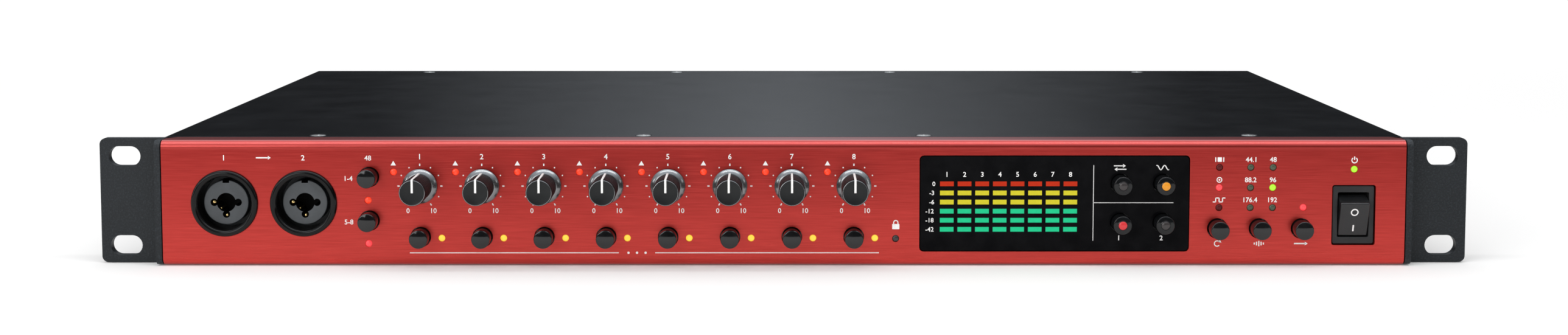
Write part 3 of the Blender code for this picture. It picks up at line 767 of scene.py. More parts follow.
# %% Rack ears
EAR_BACK = EAR_FRONT + 3.5
EAR_STRIP = 2.2
EAR_ROUND = 2.2
STRIP_BACK = EAR_FRONT + 1.5
STRIP_DROP = 0.1
FLANGE_FRONT = EAR_FRONT + 2.5
FLANGE_LOW, FLANGE_HIGH = 3.0, 41.0
SIDE_GAP = 0.3
SLOT_X = 232.55
SLOT_HALF_STEP = 31.75 / 2
SLOT_RADIUS = 7.05 / 2
SLOT_STRAIGHT = 11.2 / 2 - SLOT_RADIUS


def rack_ear(side, node):
    low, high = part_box(node)
    bottom = low.z / MM
    top = high.z / MM
    inner = PANEL_HALF + SIDE_GAP
    outer = max(abs(low.x), abs(high.x)) / MM

    def plate(bm):
        outline = [(inner, bottom)]
        outline += arc((outer - EAR_ROUND, bottom + EAR_ROUND), EAR_ROUND, -90, 0, 8)
        outline += arc((outer - EAR_ROUND, top - EAR_ROUND), EAR_ROUND, 0, 90, 8)
        outline += [(inner, top)]
        push(bm, [(side * x, z) for x, z in outline], EAR_FRONT, EAR_BACK)

    def strip(bm):
        crown = top - STRIP_DROP
        foot = bottom + STRIP_DROP
        outline = [(STRIP_BACK, crown)]
        outline += arc((FOLD, crown - FOLD), FOLD, 90, 180, 8)
        outline += arc((FOLD, foot + FOLD), FOLD, 180, 270, 8)
        outline += [(STRIP_BACK, foot)]
        push(bm, outline, side * (inner + 0.05), side * (inner + EAR_STRIP), "X")

    def flange(bm):
        x0, x1 = sorted((side * (inner - 0.9), side * (inner + 0.7)))
        push(bm, oblong(x0, FLANGE_LOW, x1, FLANGE_HIGH), FLANGE_FRONT, (high.y - FRONT) / MM)

    def slots(bm):
        for dz in (-SLOT_HALF_STEP, SLOT_HALF_STEP):
            z = TOP / MM / 2 + dz
            outline = arc((side * SLOT_X + SLOT_STRAIGHT, z), SLOT_RADIUS, -90, 90, 14)
            outline += arc((side * SLOT_X - SLOT_STRAIGHT, z), SLOT_RADIUS, 90, 270, 14)
            push(bm, outline, EAR_FRONT - OVER, EAR_BACK + OVER)

    ear = mesh_object(f"{node}_casting", plate, EAR_BLACK)
    carve(ear, strip, "UNION")
    carve(ear, flange, "UNION")
    carve(ear, slots)
    soften(ear, 0.3)
    fit(ear, "case", "black_powder_coat", node)
    print(node, "faces", len(ear.data.polygons))


rack_ear(-1, "rack_ear_left")
rack_ear(1, "rack_ear_right")

# %% [markdown]
# The cover is one folded sheet. Bright countersunk screws hold it near its front and rear edges; a cross
# recess in each head is what the eye reads as a screw.

# %% Top cover and its screws
SHEET = 1.2
COVER_BEND = 1.6
COVER_LOW, COVER_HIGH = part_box("top_cover")
SCREW_NAMES = numbered("cover_screw_front", 1, 4) + numbered("cover_screw_rear", 1, 4)
SCREW_PLACES = [Vector((middle(n).x, middle(n).y, TOP)) for n in SCREW_NAMES]
SCREW_HOLE = [(0, -3), (1.8, -3), (1.8, -1), (3.0, 0.05), (3.0, 1), (0, 1)]
RECESS_TAPER = 0.5
SCREW_HEAD = [(0, 0.02), (2.3, 0.02), (2.62, -0.12), (2.7, -0.3), (1.5, -1.4), (1.5, -4.0), (0, -4.0)]


def cover_shape(bm):
    half = COVER_HIGH.x / MM
    top = COVER_HIGH.z / MM
    skirt = COVER_LOW.z / MM
    inside = half - SHEET
    outline = [(-half, skirt), (-inside, skirt), (-inside, top - SHEET)]
    outline += [(inside, top - SHEET), (inside, skirt), (half, skirt)]
    outline += arc((half - COVER_BEND, top - COVER_BEND), COVER_BEND, 0, 90, 6)
    outline += arc((COVER_BEND - half, top - COVER_BEND), COVER_BEND, 90, 180, 6)
    push(bm, outline, (COVER_LOW.y - FRONT) / MM, (COVER_HIGH.y - FRONT) / MM)


def cover_holes(bm):
    for place in SCREW_PLACES:
        turn(bm, SCREW_HOLE, 32, place, None, "Z")


def cross_arms(long, short):
    """Outlines of the two arms of a cross."""
    return [oblong(-long, -short, long, short), oblong(-short, -long, short, long)]


cover = mesh_object("top_cover_sheet", cover_shape, COVER_BLACK)
carve(cover, cover_holes)
soften(cover, 0.1)
fit(cover, "case", "black_powder_coat", "top_cover")
screw = turned("screw_shape", SCREW_HEAD, 32, STEEL, axis="Z")
for arm in cross_arms(1.45, 0.36):
    carve(screw, lambda bm: prism(bm, arm, -1.2, 0.6, "Z", ORIGIN, RECESS_TAPER))
screws = copy_on_points("cover_screws", screw, STEEL, SCREW_PLACES)
fit(screws, "case", "bright_steel", *SCREW_NAMES)
print("cover faces", len(cover.data.polygons), "with", len(SCREW_PLACES), "screws")

# %% [markdown]
# A gain knob is a tapered black grip on a glossy conical skirt. The grip is finely ribbed all round, so
# a Geometry Nodes tree sets one slim rib on each point of a circle. A white line runs over the cap and
# down the grip to show where the knob points.

# %% Gain knobs
KNOB_LENGTH = 17.4
KNOB_FACE = -KNOB_LENGTH
GRIP_FOOT = 2.4
GRIP_RADIUS_FOOT = 4.5
GRIP_RADIUS_CAP = 4.32
CAP_RADIUS = 4.5
CAP_DEPTH = 0.8
SKIRT_RADIUS = 6.1
SHAFT_RADIUS = 3.0
SHAFT_END = 7.5
RIBS = 64
RIB_RADIUS = 0.17
RIB_SIDES = 5
RIB_LENGTH = KNOB_LENGTH - CAP_DEPTH - GRIP_FOOT
POINTER_HALF = 0.36


def knob_body(bm):
    cap = KNOB_FACE
    profile = [(0, cap + 0.1), (3.9, cap + 0.1), (4.1, cap + 0.04), (4.25, cap), (4.38, cap + 0.05)]
    profile += [(CAP_RADIUS, cap + 0.2), (CAP_RADIUS, cap + 0.6), (GRIP_RADIUS_CAP, cap + 0.75)]
    profile += [(GRIP_RADIUS_FOOT, -GRIP_FOOT), (4.75, 0.05 - GRIP_FOOT), (5.98, -1.2)]
    profile += [(SKIRT_RADIUS, -1.05), (SKIRT_RADIUS, -0.5)]
    profile += [(SHAFT_RADIUS, -0.5), (SHAFT_RADIUS, SHAFT_END), (0, SHAFT_END)]
    cap_slot, grip_slot, skirt_slot, rim_slot = range(4)
    slots = [cap_slot] * 3 + [rim_slot] + [cap_slot] * 3 + [grip_slot] + [skirt_slot] * 7
    turn(bm, profile, 64, ORIGIN, slots)


def knob_pointer(bm):
    """A white line over the cap and down the grip, as one bent strip."""
    face = KNOB_FACE - 0.03
    bend = KNOB_FACE + 0.3
    foot = 0.1 - GRIP_FOOT
    side = [(face, 0.0), (face, 4.6), (bend, 4.66), (foot, 4.82)]
    side += [(foot, 4.32), (bend, 4.16), (KNOB_FACE + 0.2, 0.0)]
    prism(bm, side, -POINTER_HALF, POINTER_HALF, "X")


def rib_tree():
    """Slim ribs standing round a cone, lying along it."""
    inputs = {"Count": "Int", "Radius": "Float", "Length": "Float", "Width": "Float", "Lean": "Float"}
    tree, wires = new_tree("knob_ribs", **inputs, Place="Vector")
    ring_inputs = {"Vertices": wires["Count"], "Radius": wires["Radius"]}
    ring = Wire.make(tree, "GeometryNodeMeshCircle", ring_inputs)
    rod_inputs = {"Vertices": RIB_SIDES, "Radius": wires["Width"], "Depth": wires["Length"]}
    rod = Wire.make(tree, "GeometryNodeMeshCylinder", rod_inputs)
    leaning = {"Geometry": rod, "Rotation": vector(tree, Y=wires["Lean"])}
    rod = Wire.make(tree, "GeometryNodeTransform", leaning)
    angle = Wire.make(tree, "GeometryNodeInputIndex").math("DIVIDE", wires["Count"]) * math.tau
    ribs = copies(ring, rod, Rotation=vector(tree, Z=angle))
    return end_tree(stood(ribs, wires["Place"]), wires["Finish"])


ribs = grow(
    "knob_ribs",
    rib_tree(),
    Count=RIBS,
    Radius=(GRIP_RADIUS_FOOT + GRIP_RADIUS_CAP) / 2 * MM,
    Length=RIB_LENGTH * MM,
    Width=RIB_RADIUS * MM,
    Lean=math.atan2(GRIP_RADIUS_FOOT - GRIP_RADIUS_CAP, RIB_LENGTH),
    Place=Vector((0.0, -(RIB_LENGTH / 2 + GRIP_FOOT), 0.0)) * MM,
    Finish=KNOB_GRIP,
)
body = shade(mesh_object("knob_body", knob_body, KNOB_CAP, KNOB_GRIP, KNOB_SKIRT, KNOB_RIM))
knob_master = join("knob_master", [body, ribs, mesh_object("knob_pointer", knob_pointer, WHITE_INK)])
for number, (x, z) in enumerate(KNOBS, 1):
    knob = clone(knob_master, f"gain_knob_{number}_turned", on_panel(x, 0.0, z))
    fit(knob, f"knob_{number}", "knob_plastic", f"gain_knob_{number}")
print("knobs", len(KNOBS), "of", len(knob_master.data.polygons), "faces")
bpy.data.objects.remove(knob_master)

# %% [markdown]
# The push buttons are glossy turned caps with a low dome. Those in the window are smoked, with a small
# lens in the middle that lights up.

# %% Push buttons
BUTTON_RADIUS = 3.25
BUTTON_LENGTH = 6.3
COLLAR_RADIUS = 4.15
COLLAR_THICK = 1.0
DOME_SIZE = 13.0
DOME_ANGLES = (0.0, 0.05, 0.1, 0.15, 0.2, 0.215)
EDGE_ROUND = 0.42
EDGE_ANGLES = (0.45, 0.7, 0.95, 1.2, 1.4, 1.5708)
BUTTON_SMOOTH = 50.0
BUTTON_LENS = [(0, -6.6), (0.7, -6.56), (1.2, -6.42), (1.5, -6.2), (1.5, -5.9), (0, -5.9)]
LENS_RIM = [(1.5, -6.05), (1.5, -6.3), (1.62, -6.34), (1.8, -6.26), (1.8, -6.05), (1.5, -6.05)]


def button_profile(end):
    def bow(x, y, radius, angles):
        """Points of a bow from straight ahead to the side."""
        return [(x + radius * math.sin(a), y - radius * math.cos(a)) for a in angles]

    profile = bow(0.0, DOME_SIZE - BUTTON_LENGTH, DOME_SIZE, DOME_ANGLES)
    profile += bow(BUTTON_RADIUS - EDGE_ROUND, profile[-1][1] + EDGE_ROUND, EDGE_ROUND, EDGE_ANGLES)
    collar = end - COLLAR_THICK
    return profile + [(BUTTON_RADIUS, collar), (COLLAR_RADIUS, collar), (COLLAR_RADIUS, end), (0, end)]


def push_button(node, finish, slot, lens=None):
    x, z = spots([node])[0]
    place = on_panel(x, 0.0, z)
    profile = button_profile((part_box(node)[1].y - FRONT) / MM)
    parts = [shade(turned("cap", profile, 48, finish, place), BUTTON_SMOOTH)]
    if lens:
        parts.append(shade(turned("lens", BUTTON_LENS, 32, lens, place)))
        parts.append(shade(turned("lens_rim", LENS_RIM, 32, finish, place)))
    fit(join(f"{node}_cap", parts), f"{node}_body", slot, node)


for node in CHANNEL_BUTTONS + LONE_BUTTONS:
    push_button(node, BUTTON_BLACK, "button_plastic")
for node, lens in zip(WINDOW_BUTTONS, (GREY_DARK, ORANGE_LIT, LENS_RED, GREY_DARK)):
    push_button(node, SMOKED, "smoked_button", lens)
print("buttons", len(CHANNEL_BUTTONS + LONE_BUTTONS + WINDOW_BUTTONS))

# %% [markdown]
# The lamps are small domed lenses that sit in round holes. Those of one colour are copies of one lens
# on points, so each colour is one piece.

# %% Lamps
LENS_RADIUS = 1.16
LENS_PROFILE = [(0, -0.12), (0.45, -0.08), (0.8, 0.06), (1.0, 0.3), (1.0, 2.2), (0, 2.2)]
LIT_STATUS = (STATUS_X[0], STATUS_Z[1])
LIT_RATE = (STATUS_X[2], STATUS_Z[1])
LAMP_GROUPS = {
    "overload_lamps": (RED_LIT, OVERLOAD_LAMPS),
    "channel_lamps": (YELLOW_LIT, CHANNEL_LAMPS),
    "phantom_lamps": (RED_LIT, PHANTOM_LAMPS[:1]),
    "lit_pink_lamps": (PINK_LIT, [PHANTOM_LAMPS[1], LIT_STATUS, ROUTE_LAMP]),
    "lit_green_lamps": (GREEN_LIT, [LIT_RATE, POWER_LAMP]),
    "dark_red_lamps": (RED_DARK, [(STATUS_X[0], z) for z in STATUS_Z[::2]]),
    "dark_green_lamps": (GREEN_DARK, [p for p in STATUS_LAMPS[len(STATUS_Z):] if p != LIT_RATE]),
    "dark_lock_lamp": (GREY_DARK, [LOCK_LAMP]),
}

for name, (finish, places) in LAMP_GROUPS.items():
    profile = [(part * LENS_RADIUS, depth) for part, depth in LENS_PROFILE]
    shape = shade(turned("lens_shape", profile, 24, finish))
    group = copy_on_points(name, shape, finish, [on_panel(x, 0.0, z) for x, z in places])
    fit(group, "case", "clear_plastic")
    print(name, len(places))

# %% [markdown]
# The meter window is a polished dark plate, flush with the panel. Eight columns of lit bars show through
# it. A grid in Geometry Nodes sets the bars of one colour, with the column step and row step as inputs.

# %% Meter window
BAR_FIRST_X = 57.15
BAR_STEP_X = 6.18
BAR_TOP_Z = 29.15
BAR_STEP_Z = 3.22
BAR_SIZE = Vector((4.8, 1.66, 0.12))
BAR_ROWS = (("red", BAR_RED, 0, 1), ("yellow", BAR_YELLOW, 1, 2), ("green", BAR_GREEN, 3, 3))
WINDOW_DEPTH = 0.1
WINDOW_BACK = 4.0
WINDOW_GAP = 0.25
WINDOW_FLANGE = 1.4
FLANGE_DEPTHS = (3.4, 4.5)


def window_outline(margin, radius):
    """The window's outline, larger by a margin all round."""
    x0, z0, x1, z1 = WINDOW_BOX
    return rounded(x0 - margin, z0 - margin, x1 + margin, z1 + margin, radius)


def bar_tree():
    """A grid of upright bars facing the front."""
    inputs = {"Columns": "Int", "Rows": "Int", "Column_step": "Float", "Row_step": "Float"}
    tree, wires = new_tree("meter_bars", **inputs, Bar_size="Vector", Place="Vector")
    grid_inputs = {
        "Size X": wires["Column_step"] * (wires["Columns"] - 1.0),
        "Size Y": wires["Row_step"] * (wires["Rows"] - 1.0),
        "Vertices X": wires["Columns"],
        "Vertices Y": wires["Rows"],
    }
    grid = Wire.make(tree, "GeometryNodeMeshGrid", grid_inputs)
    bar = Wire.make(tree, "GeometryNodeMeshCube", {"Size": wires["Bar_size"]})
    return end_tree(stood(copies(grid, bar), wires["Place"]), wires["Finish"])


plate_outline = window_outline(-WINDOW_GAP, 1.4)
window = mesh_object(
    "meter_window_plate", lambda bm: push(bm, plate_outline, WINDOW_DEPTH, WINDOW_BACK), WINDOW_BLACK
)
carve(window, lambda bm: push(bm, window_outline(WINDOW_FLANGE, 1.0), *FLANGE_DEPTHS), "UNION")
carve(window, lambda bm: drill(bm, spots(WINDOW_BUTTONS), CONTROL_HOLE, -OVER, 6.0))
soften(window, 0.12)
fit(window, "case", "dark_window", "meter_window")
meter_bars = bar_tree()
for colour, finish, first_row, rows in BAR_ROWS:
    x = BAR_FIRST_X + BAR_STEP_X * (CHANNELS - 1) / 2
    z = BAR_TOP_Z - BAR_STEP_Z * (first_row + (rows - 1) / 2)
    bars = grow(
        f"meter_bars_{colour}",
        meter_bars,
        Columns=CHANNELS,
        Rows=max(rows, 2),
        Column_step=BAR_STEP_X * MM,
        Row_step=BAR_STEP_Z * MM if rows > 1 else 0.0,
        Bar_size=BAR_SIZE * MM,
        Place=on_panel(x, WINDOW_DEPTH, z),
        Finish=finish,
    )
    fit(bars, "case", "clear_plastic")
    print(colour, "bars", CHANNELS * rows)

# %% [markdown]
# A combination socket takes a three-pole plug in its ring gap or a round plug in its bore. Its core is a
# grey disc with a clover-shaped opening, where gold contacts show. One socket is made at the origin and
# copied to the front, and half turned to the rear.

# %% Combination sockets
RIM_MIDDLE = 10.6
RIM_HALF = 1.15
RIM_FOOT = -0.3
RIM_HIGH = 1.0
MOUTH_RADIUS = 9.35
BARREL_RADIUS = 10.3
BARREL_INSIDE = 8.6
SHELL_STEP = 12.0
SHELL_END = 26.0
SHELL_FLOOR = 24.5
CORE_RADIUS = 7.85
CORE_FACE = 2.4
CORE_FLANGE = 9.3
BORE_RADIUS = 3.35
LEAF_REACH = 4.2
LEAF_RADIUS = 1.3
LEAF_ANGLES = (0, 180, 270)
# painted shade: a cup in the near-black hole finish closes the back of the bore
BORE_SHADE_CUP = [(3.6, 11.4), (3.6, 24.0), (0, 24.0), (0, 24.3), (4.2, 24.3), (4.2, 11.4), (3.6, 11.4)]
CONTACTS = ((180, 4.5, 0.95), (270, 4.7, 0.75), (228, 2.9, 0.36))
CONTACT_FRONT = 3.1
CONTACT_BACK = 10.6
KEY_NOTCH = oblong(-1.15, 6.9, 1.15, 9.0)
LATCH_BAY = arc((0, 0), 10.05, 52, 128, 16) + arc((0, 0), 8.8, 128, 52, 16)


def shell_profile():
    rim = arc((0, 0), 1.0, 180, 360, 16)
    profile = [(MOUTH_RADIUS, SHELL_STEP), (MOUTH_RADIUS, 0.4)]
    profile += [(RIM_MIDDLE + RIM_HALF * x, RIM_FOOT + RIM_HIGH * y) for x, y in rim]
    profile += [(BARREL_RADIUS, RIM_FOOT), (BARREL_RADIUS, SHELL_END), (0, SHELL_END), (0, SHELL_FLOOR)]
    return profile + [(BARREL_INSIDE, SHELL_FLOOR), (BARREL_INSIDE, SHELL_STEP), (MOUTH_RADIUS, SHELL_STEP)]


def core_profile():
    profile = [(0, CORE_FACE), (CORE_RADIUS - 0.35, CORE_FACE), (CORE_RADIUS - 0.1, CORE_FACE + 0.1)]
    profile += [(CORE_RADIUS, CORE_FACE + 0.35), (CORE_RADIUS, 9.5)]
    return profile + [(CORE_FLANGE, 9.5), (CORE_FLANGE, 11.8), (0, 11.8)]


def corner_angle(near, far, opposite):
    """The angle in degrees between two sides of a triangle, from its three lengths."""
    return math.degrees(math.acos((near**2 + far**2 - opposite**2) / (2 * near * far)))


def clover():
    """Outline of the core's opening: a round bore joined by three round leaves."""
    bore_gap = corner_angle(BORE_RADIUS, LEAF_REACH, LEAF_RADIUS)
    leaf_turn = 180.0 - corner_angle(LEAF_REACH, LEAF_RADIUS, BORE_RADIUS)
    outline = []
    for angle, following in zip(LEAF_ANGLES, LEAF_ANGLES[1:] + (LEAF_ANGLES[0] + 360,)):
        centre = polar((0, 0), LEAF_REACH, angle)
        outline += arc(centre, LEAF_RADIUS, angle - leaf_turn, angle + leaf_turn, 16)
        outline += arc((0, 0), BORE_RADIUS, angle + bore_gap, following - bore_gap, 18)[1:-1]
    return outline


def contacts(bm):
    for angle, reach, size in CONTACTS:
        x, z = polar((0, 0), reach, angle)
        tip = arc((0, CONTACT_FRONT + size), size, -90, 0, 6)
        profile = [(0, tip[0][1])] + tip[1:] + [(size, CONTACT_BACK), (0, CONTACT_BACK)]
        turn(bm, profile, 24, Vector((x, 0, z)) * MM)


def new_jack():
    shell = turned("jack_shell", shell_profile(), 64, JACK_BLACK)
    carve(shell, lambda bm: prism(bm, LATCH_BAY, 0.1, 8.0))
    core = turned("jack_core", core_profile(), 64, JACK_CORE)
    # painted shade: the walls of the opening and of the key notch take the near-black hole finish
    carve(core, lambda bm: prism(bm, clover(), 1.0, 10.8), finish=PAINTED_HOLE_SHADE)
    carve(core, lambda bm: prism(bm, KEY_NOTCH, 1.2, 8.5), finish=PAINTED_HOLE_SHADE)
    sleeve = shade(turned("bore_sleeve", BORE_SHADE_CUP, 32, PAINTED_HOLE_SHADE))
    tips = shade(mesh_object("jack_contacts", contacts, GOLD))
    return join("jack_master", [soften(shell, 0.0), soften(core, 0.2), sleeve, tips])


jack_master = new_jack()
for nodes, plane, from_rear in ((JACKS, FRONT, False), (REAR_JACKS, BACK, True)):
    for node in nodes:
        centre = middle(node)
        socket = clone(jack_master, f"{node}_socket", Vector((centre.x, plane, centre.z)), from_rear)
        fit(socket, "case", "black_plastic", node)
print("sockets", len(JACKS + REAR_JACKS), "of", len(jack_master.data.polygons), "faces")
bpy.data.objects.remove(jack_master)

# %% [markdown]
# The mains switch is a rocker in a grey bezel. The paddle is drawn square to the panel and then tilted
# about its axis by the angle that the photograph shows, with the marks for off and on printed on it.

# %% Mains switch
BEZEL_DEPTHS = (0.6, 14.9)
BEZEL_FLANGE = (3.4, 4.4)
BEZEL_GAP = 0.7
BEZEL_REACH = 2.4
OPENING = (10.9, 15.8)
OPENING_DEPTH = 12.4
PADDLE_TILT = math.radians(17.0)
PADDLE_AXIS = on_panel(SWITCH_PLACE[0], 4.6, SWITCH_PLACE[1])
PADDLE_FACE = -5.5
PADDLE_WIDE = OPENING[0] / 2 - 0.3
PADDLE_SIDE = [(PADDLE_FACE, 6.3), (PADDLE_FACE, -6.3), (1.5, -5.0), (3.0, 0.0), (2.0, 6.2), (0.3, 7.1)]
MARK_DEPTHS = (PADDLE_FACE - 0.03, PADDLE_FACE + 0.07)
OFF_CENTRE = (0, 2.9)
OFF_RADII = (1.35, 0.93)
OFF_STEPS = 40
ON_BAR = oblong(-0.26, -4.4, 0.26, -2.0)


def switch_outline(size, margin, radius):
    """A rounded outline round the switch's middle, wider and higher by a margin."""
    return round_box(*SWITCH_PLACE, size[0] + margin, size[1] + margin, radius)


def switch_marks(bm):
    """A ring for off above and a bar for on below."""
    outer, inner = (arc(OFF_CENTRE, radius, 0, 360, OFF_STEPS) for radius in OFF_RADII)
    for i in range(OFF_STEPS):
        prism(bm, [outer[i], outer[i + 1], inner[i + 1], inner[i]], *MARK_DEPTHS)
    prism(bm, ON_BAR, *MARK_DEPTHS)


bezel_outline = switch_outline(SWITCH_HOLE, -BEZEL_GAP, 0.7)
bezel = mesh_object("switch_bezel", lambda bm: push(bm, bezel_outline, *BEZEL_DEPTHS), SWITCH_GREY)
carve(bezel, lambda bm: push(bm, switch_outline(SWITCH_HOLE, BEZEL_REACH, 1.0), *BEZEL_FLANGE), "UNION")
carve(bezel, lambda bm: push(bm, switch_outline(OPENING, 0.0, 0.5), -OVER, OPENING_DEPTH))
soften(bezel, 0.25, 3)
fit(bezel, "case", "black_plastic", "switch_frame")
paddle_ends = (-PADDLE_WIDE, PADDLE_WIDE)
paddle = mesh_object("paddle", lambda bm: prism(bm, PADDLE_SIDE, *paddle_ends, "X"), SWITCH_BLACK)
marks = mesh_object("paddle_marks", switch_marks, WHITE_INK)
paddle = join("power_rocker_paddle", [soften(paddle, 0.5, 4), marks])
paddle.data.transform(Matrix.Translation(PADDLE_AXIS) @ Matrix.Rotation(PADDLE_TILT, 4, "X"))
fit(paddle, "rocker", "black_plastic", "power_rocker")
print("switch faces", len(bezel.data.polygons), "and", len(paddle.data.polygons))

# %% [markdown]
# The white print is plain numbers, scale marks and simple signs. Numbers come from the built-in font,
# scaled to the height of the real print; signs are drawn from arcs and bars. All of it is a thin layer.

# %% Print helpers
INK_FRONT = -0.03
INK_BACK = 0.05
FONT_WEIGHT = 0.012


def add_number(bm, text, x, z, height, depth=0.0, reverse=False):
    """A number centred on a place, as tall as asked; reverse makes it face the rear."""
    curve = bpy.data.curves.new("number", "FONT")
    curve.body = text
    curve.align_x = "CENTER"
    curve.offset = FONT_WEIGHT
    curve.resolution_u = 3
    obj = add_object("number", curve)
    graph = bpy.context.evaluated_depsgraph_get()
    mesh = bpy.data.meshes.new_from_object(obj.evaluated_get(graph))
    xs = [v.co.x for v in mesh.vertices]
    ys = [v.co.y for v in mesh.vertices]
    scale = height * MM / (max(ys) - min(ys))
    centre = Vector(((max(xs) + min(xs)) / 2, (max(ys) + min(ys)) / 2, 0.0))
    stand = Matrix.Rotation(math.pi / 2, 4, "X") @ Matrix.Scale(scale, 4) @ Matrix.Translation(-centre)
    if reverse:
        stand = Matrix.Rotation(math.pi, 4, "Z") @ stand
    lift = -INK_FRONT if reverse else INK_FRONT
    mesh.transform(Matrix.Translation(on_panel(x, depth + lift, z)) @ stand)
    bm.from_mesh(mesh)
    bpy.data.objects.remove(obj)
    bpy.data.meshes.remove(mesh)


def ink(bm, outline, depth=0.0):
    """A flat printed shape."""
    push(bm, outline, depth + INK_FRONT, depth + INK_BACK)


def add_bar(bm, start, end, width, depth=0.0):
    """A straight stroke between two places."""
    start = Vector(start)
    end = Vector(end)
    along = (end - start).normalized()
    side = Vector((-along.y, along.x)) * width / 2
    ink(bm, [start - side, end - side, end + side, start + side], depth)


def add_stroke(bm, points, width, depth=0.0):
    """A line through several points."""
    for start, end in zip(points, points[1:]):
        add_bar(bm, start, end, width, depth)


def add_arrow(bm, x0, x1, z, width, depth=0.0):
    """An arrow pointing along X."""
    sign = 1 if x1 > x0 else -1
    add_bar(bm, (x0, z), (x1 - sign * 0.8, z), width, depth)
    ink(bm, [(x1 - sign * 1.0, z - 0.65), (x1, z), (x1 - sign * 1.0, z + 0.65)], depth)


def ink_piece(name, build, slot):
    fit(raw_object(name, build, [WHITE_INK]), "case", slot)


# %% [markdown]
# Eleven marks surround each knob. One Geometry Nodes tree spreads dots along an arc and repeats the arc
# along the row of knobs.

# %% Dial marks
DIAL_RADIUS = 7.5
DIAL_SWEEP = math.radians(300.0)
DIAL_MARKS = 11
DIAL_DOT = 0.24
DIAL_INK = 0.06


def dial_tree():
    inputs = {"Knobs": "Int", "Marks": "Int", "Step": "Float", "Radius": "Float", "Sweep": "Float"}
    tree, wires = new_tree("dial_marks", **inputs, Dot="Float", Place="Vector")
    start = (math.pi - wires["Sweep"]) * 0.5
    ring = {"Radius": wires["Radius"], "Start Angle": start, "Sweep Angle": wires["Sweep"]}
    curve = Wire.make(tree, "GeometryNodeCurveArc", {**ring, "Resolution": 61})
    marks = {"Curve": curve, "Count": wires["Marks"]}
    points = Wire.make(tree, "GeometryNodeCurveToPoints", marks, {"mode": "COUNT"})
    dot_inputs = {"Vertices": 12, "Radius": wires["Dot"], "Depth": DIAL_INK * MM}
    dot = Wire.make(tree, "GeometryNodeMeshCylinder", dot_inputs)
    line = {"Count": wires["Knobs"], "Offset": vector(tree, X=wires["Step"])}
    row = Wire.make(tree, "GeometryNodeMeshLine", line)
    return end_tree(stood(copies(row, copies(points, dot)), wires["Place"]), wires["Finish"])


dial_marks = grow(
    "dial_marks",
    dial_tree(),
    Knobs=CHANNELS,
    Step=(KNOBS[-1][0] - KNOBS[0][0]) / (CHANNELS - 1) * MM,
    Marks=DIAL_MARKS,
    Radius=DIAL_RADIUS * MM,
    Sweep=DIAL_SWEEP,
    Dot=DIAL_DOT * MM,
    Place=on_panel(KNOBS[0][0], 0.0, KNOBS[0][1]),
    Finish=WHITE_INK,
)
fit(dial_marks, "case", "red_lacquer")
print("dial marks", CHANNELS * DIAL_MARKS)

# %% [markdown]
# The rest of the panel's print is drawn sign by sign, each round the control that it belongs to. A number
# pair at a dial gives its ends, and a sign above a lamp or below a button says what it is for.

# %% Print on the panel
LONG_MARKS = (90, 0, 180, -60, 240)
MARK_HALF = 0.4
MARK_WIDTH = 0.4
MARK_LIFT = -0.02
NUMBER_HEIGHT = 1.9
SMALL_NUMBER = 1.75
NUMBER_Z = 38.8
INPUT_Z = 38.4
DIAL_NUMBER_Z = 19.7
DIAL_ENDS = (("0", -4.3), ("10", 4.75))
WARNING_SIGN = [(-0.95, 35.7), (0.95, 35.7), (0.0, 37.3)]
PHANTOM_PRINT = (("48", -145.5, 38.3), ("1-4", -152.3, 31.1), ("5-8", -152.4, 15.7))
LINE_WIDTH = 0.3
LINE_Z = 4.75
LINE_PARTS = ((-131.2, -57.9), (-45.1, 33.4))
LINE_DOTS = (-54.5, -51.5, -48.5)
LOCK_SIGN = (39.3, 14.2)
RATES = (("44.1", "48"), ("88.2", "96"), ("176.4", "192"))
SQUARE_WAVE = [(-2.2, -0.7), (-1.2, -0.7), (-1.2, 0.7), (0, 0.7)]
SQUARE_WAVE += [(0, -0.7), (1.2, -0.7), (1.2, 0.7), (2.2, 0.7)]
SIGN_RISE = 2.75
SIGN_Z = 8.0
FINE = 0.36
BOLD = 0.45


def channel_print(bm):
    for number, (x, z) in enumerate(KNOBS, 1):
        add_number(bm, str(number), x, NUMBER_Z, NUMBER_HEIGHT)
        for text, dx in DIAL_ENDS:
            add_number(bm, text, x + dx, DIAL_NUMBER_Z, SMALL_NUMBER)
        for angle in LONG_MARKS:
            near = polar((x, z), DIAL_RADIUS - MARK_HALF, angle)
            far = polar((x, z), DIAL_RADIUS + MARK_HALF, angle)
            add_bar(bm, near, far, MARK_WIDTH, MARK_LIFT)
        lamp_x = OVERLOAD_LAMPS[number - 1][0]
        ink(bm, [(lamp_x + dx, sign_z) for dx, sign_z in WARNING_SIGN])


def input_print(bm):
    for number, (x, _) in enumerate(spots(JACKS), 1):
        add_number(bm, str(number), x, INPUT_Z, NUMBER_HEIGHT)
    add_arrow(bm, -184.6, -179.4, INPUT_Z, BOLD)
    for text, x, z in PHANTOM_PRINT:
        add_number(bm, text, x, z, SMALL_NUMBER)


def group_line(bm):
    for x0, x1 in LINE_PARTS:
        add_bar(bm, (x0, LINE_Z), (x1, LINE_Z), LINE_WIDTH)
    for x in LINE_DOTS:
        ink(bm, circle(x, LINE_Z, 0.42, 16))


def padlock(bm):
    x, z = LOCK_SIGN
    ink(bm, rounded(x - 1.25, z - 1.1, x + 1.25, z + 0.75, 0.2))
    shackle = arc((x, z + 1.25), 0.75, 180, 0, 10)
    add_stroke(bm, [(x - 0.75, z + 0.7)] + shackle + [(x + 0.75, z + 0.7)], FINE)


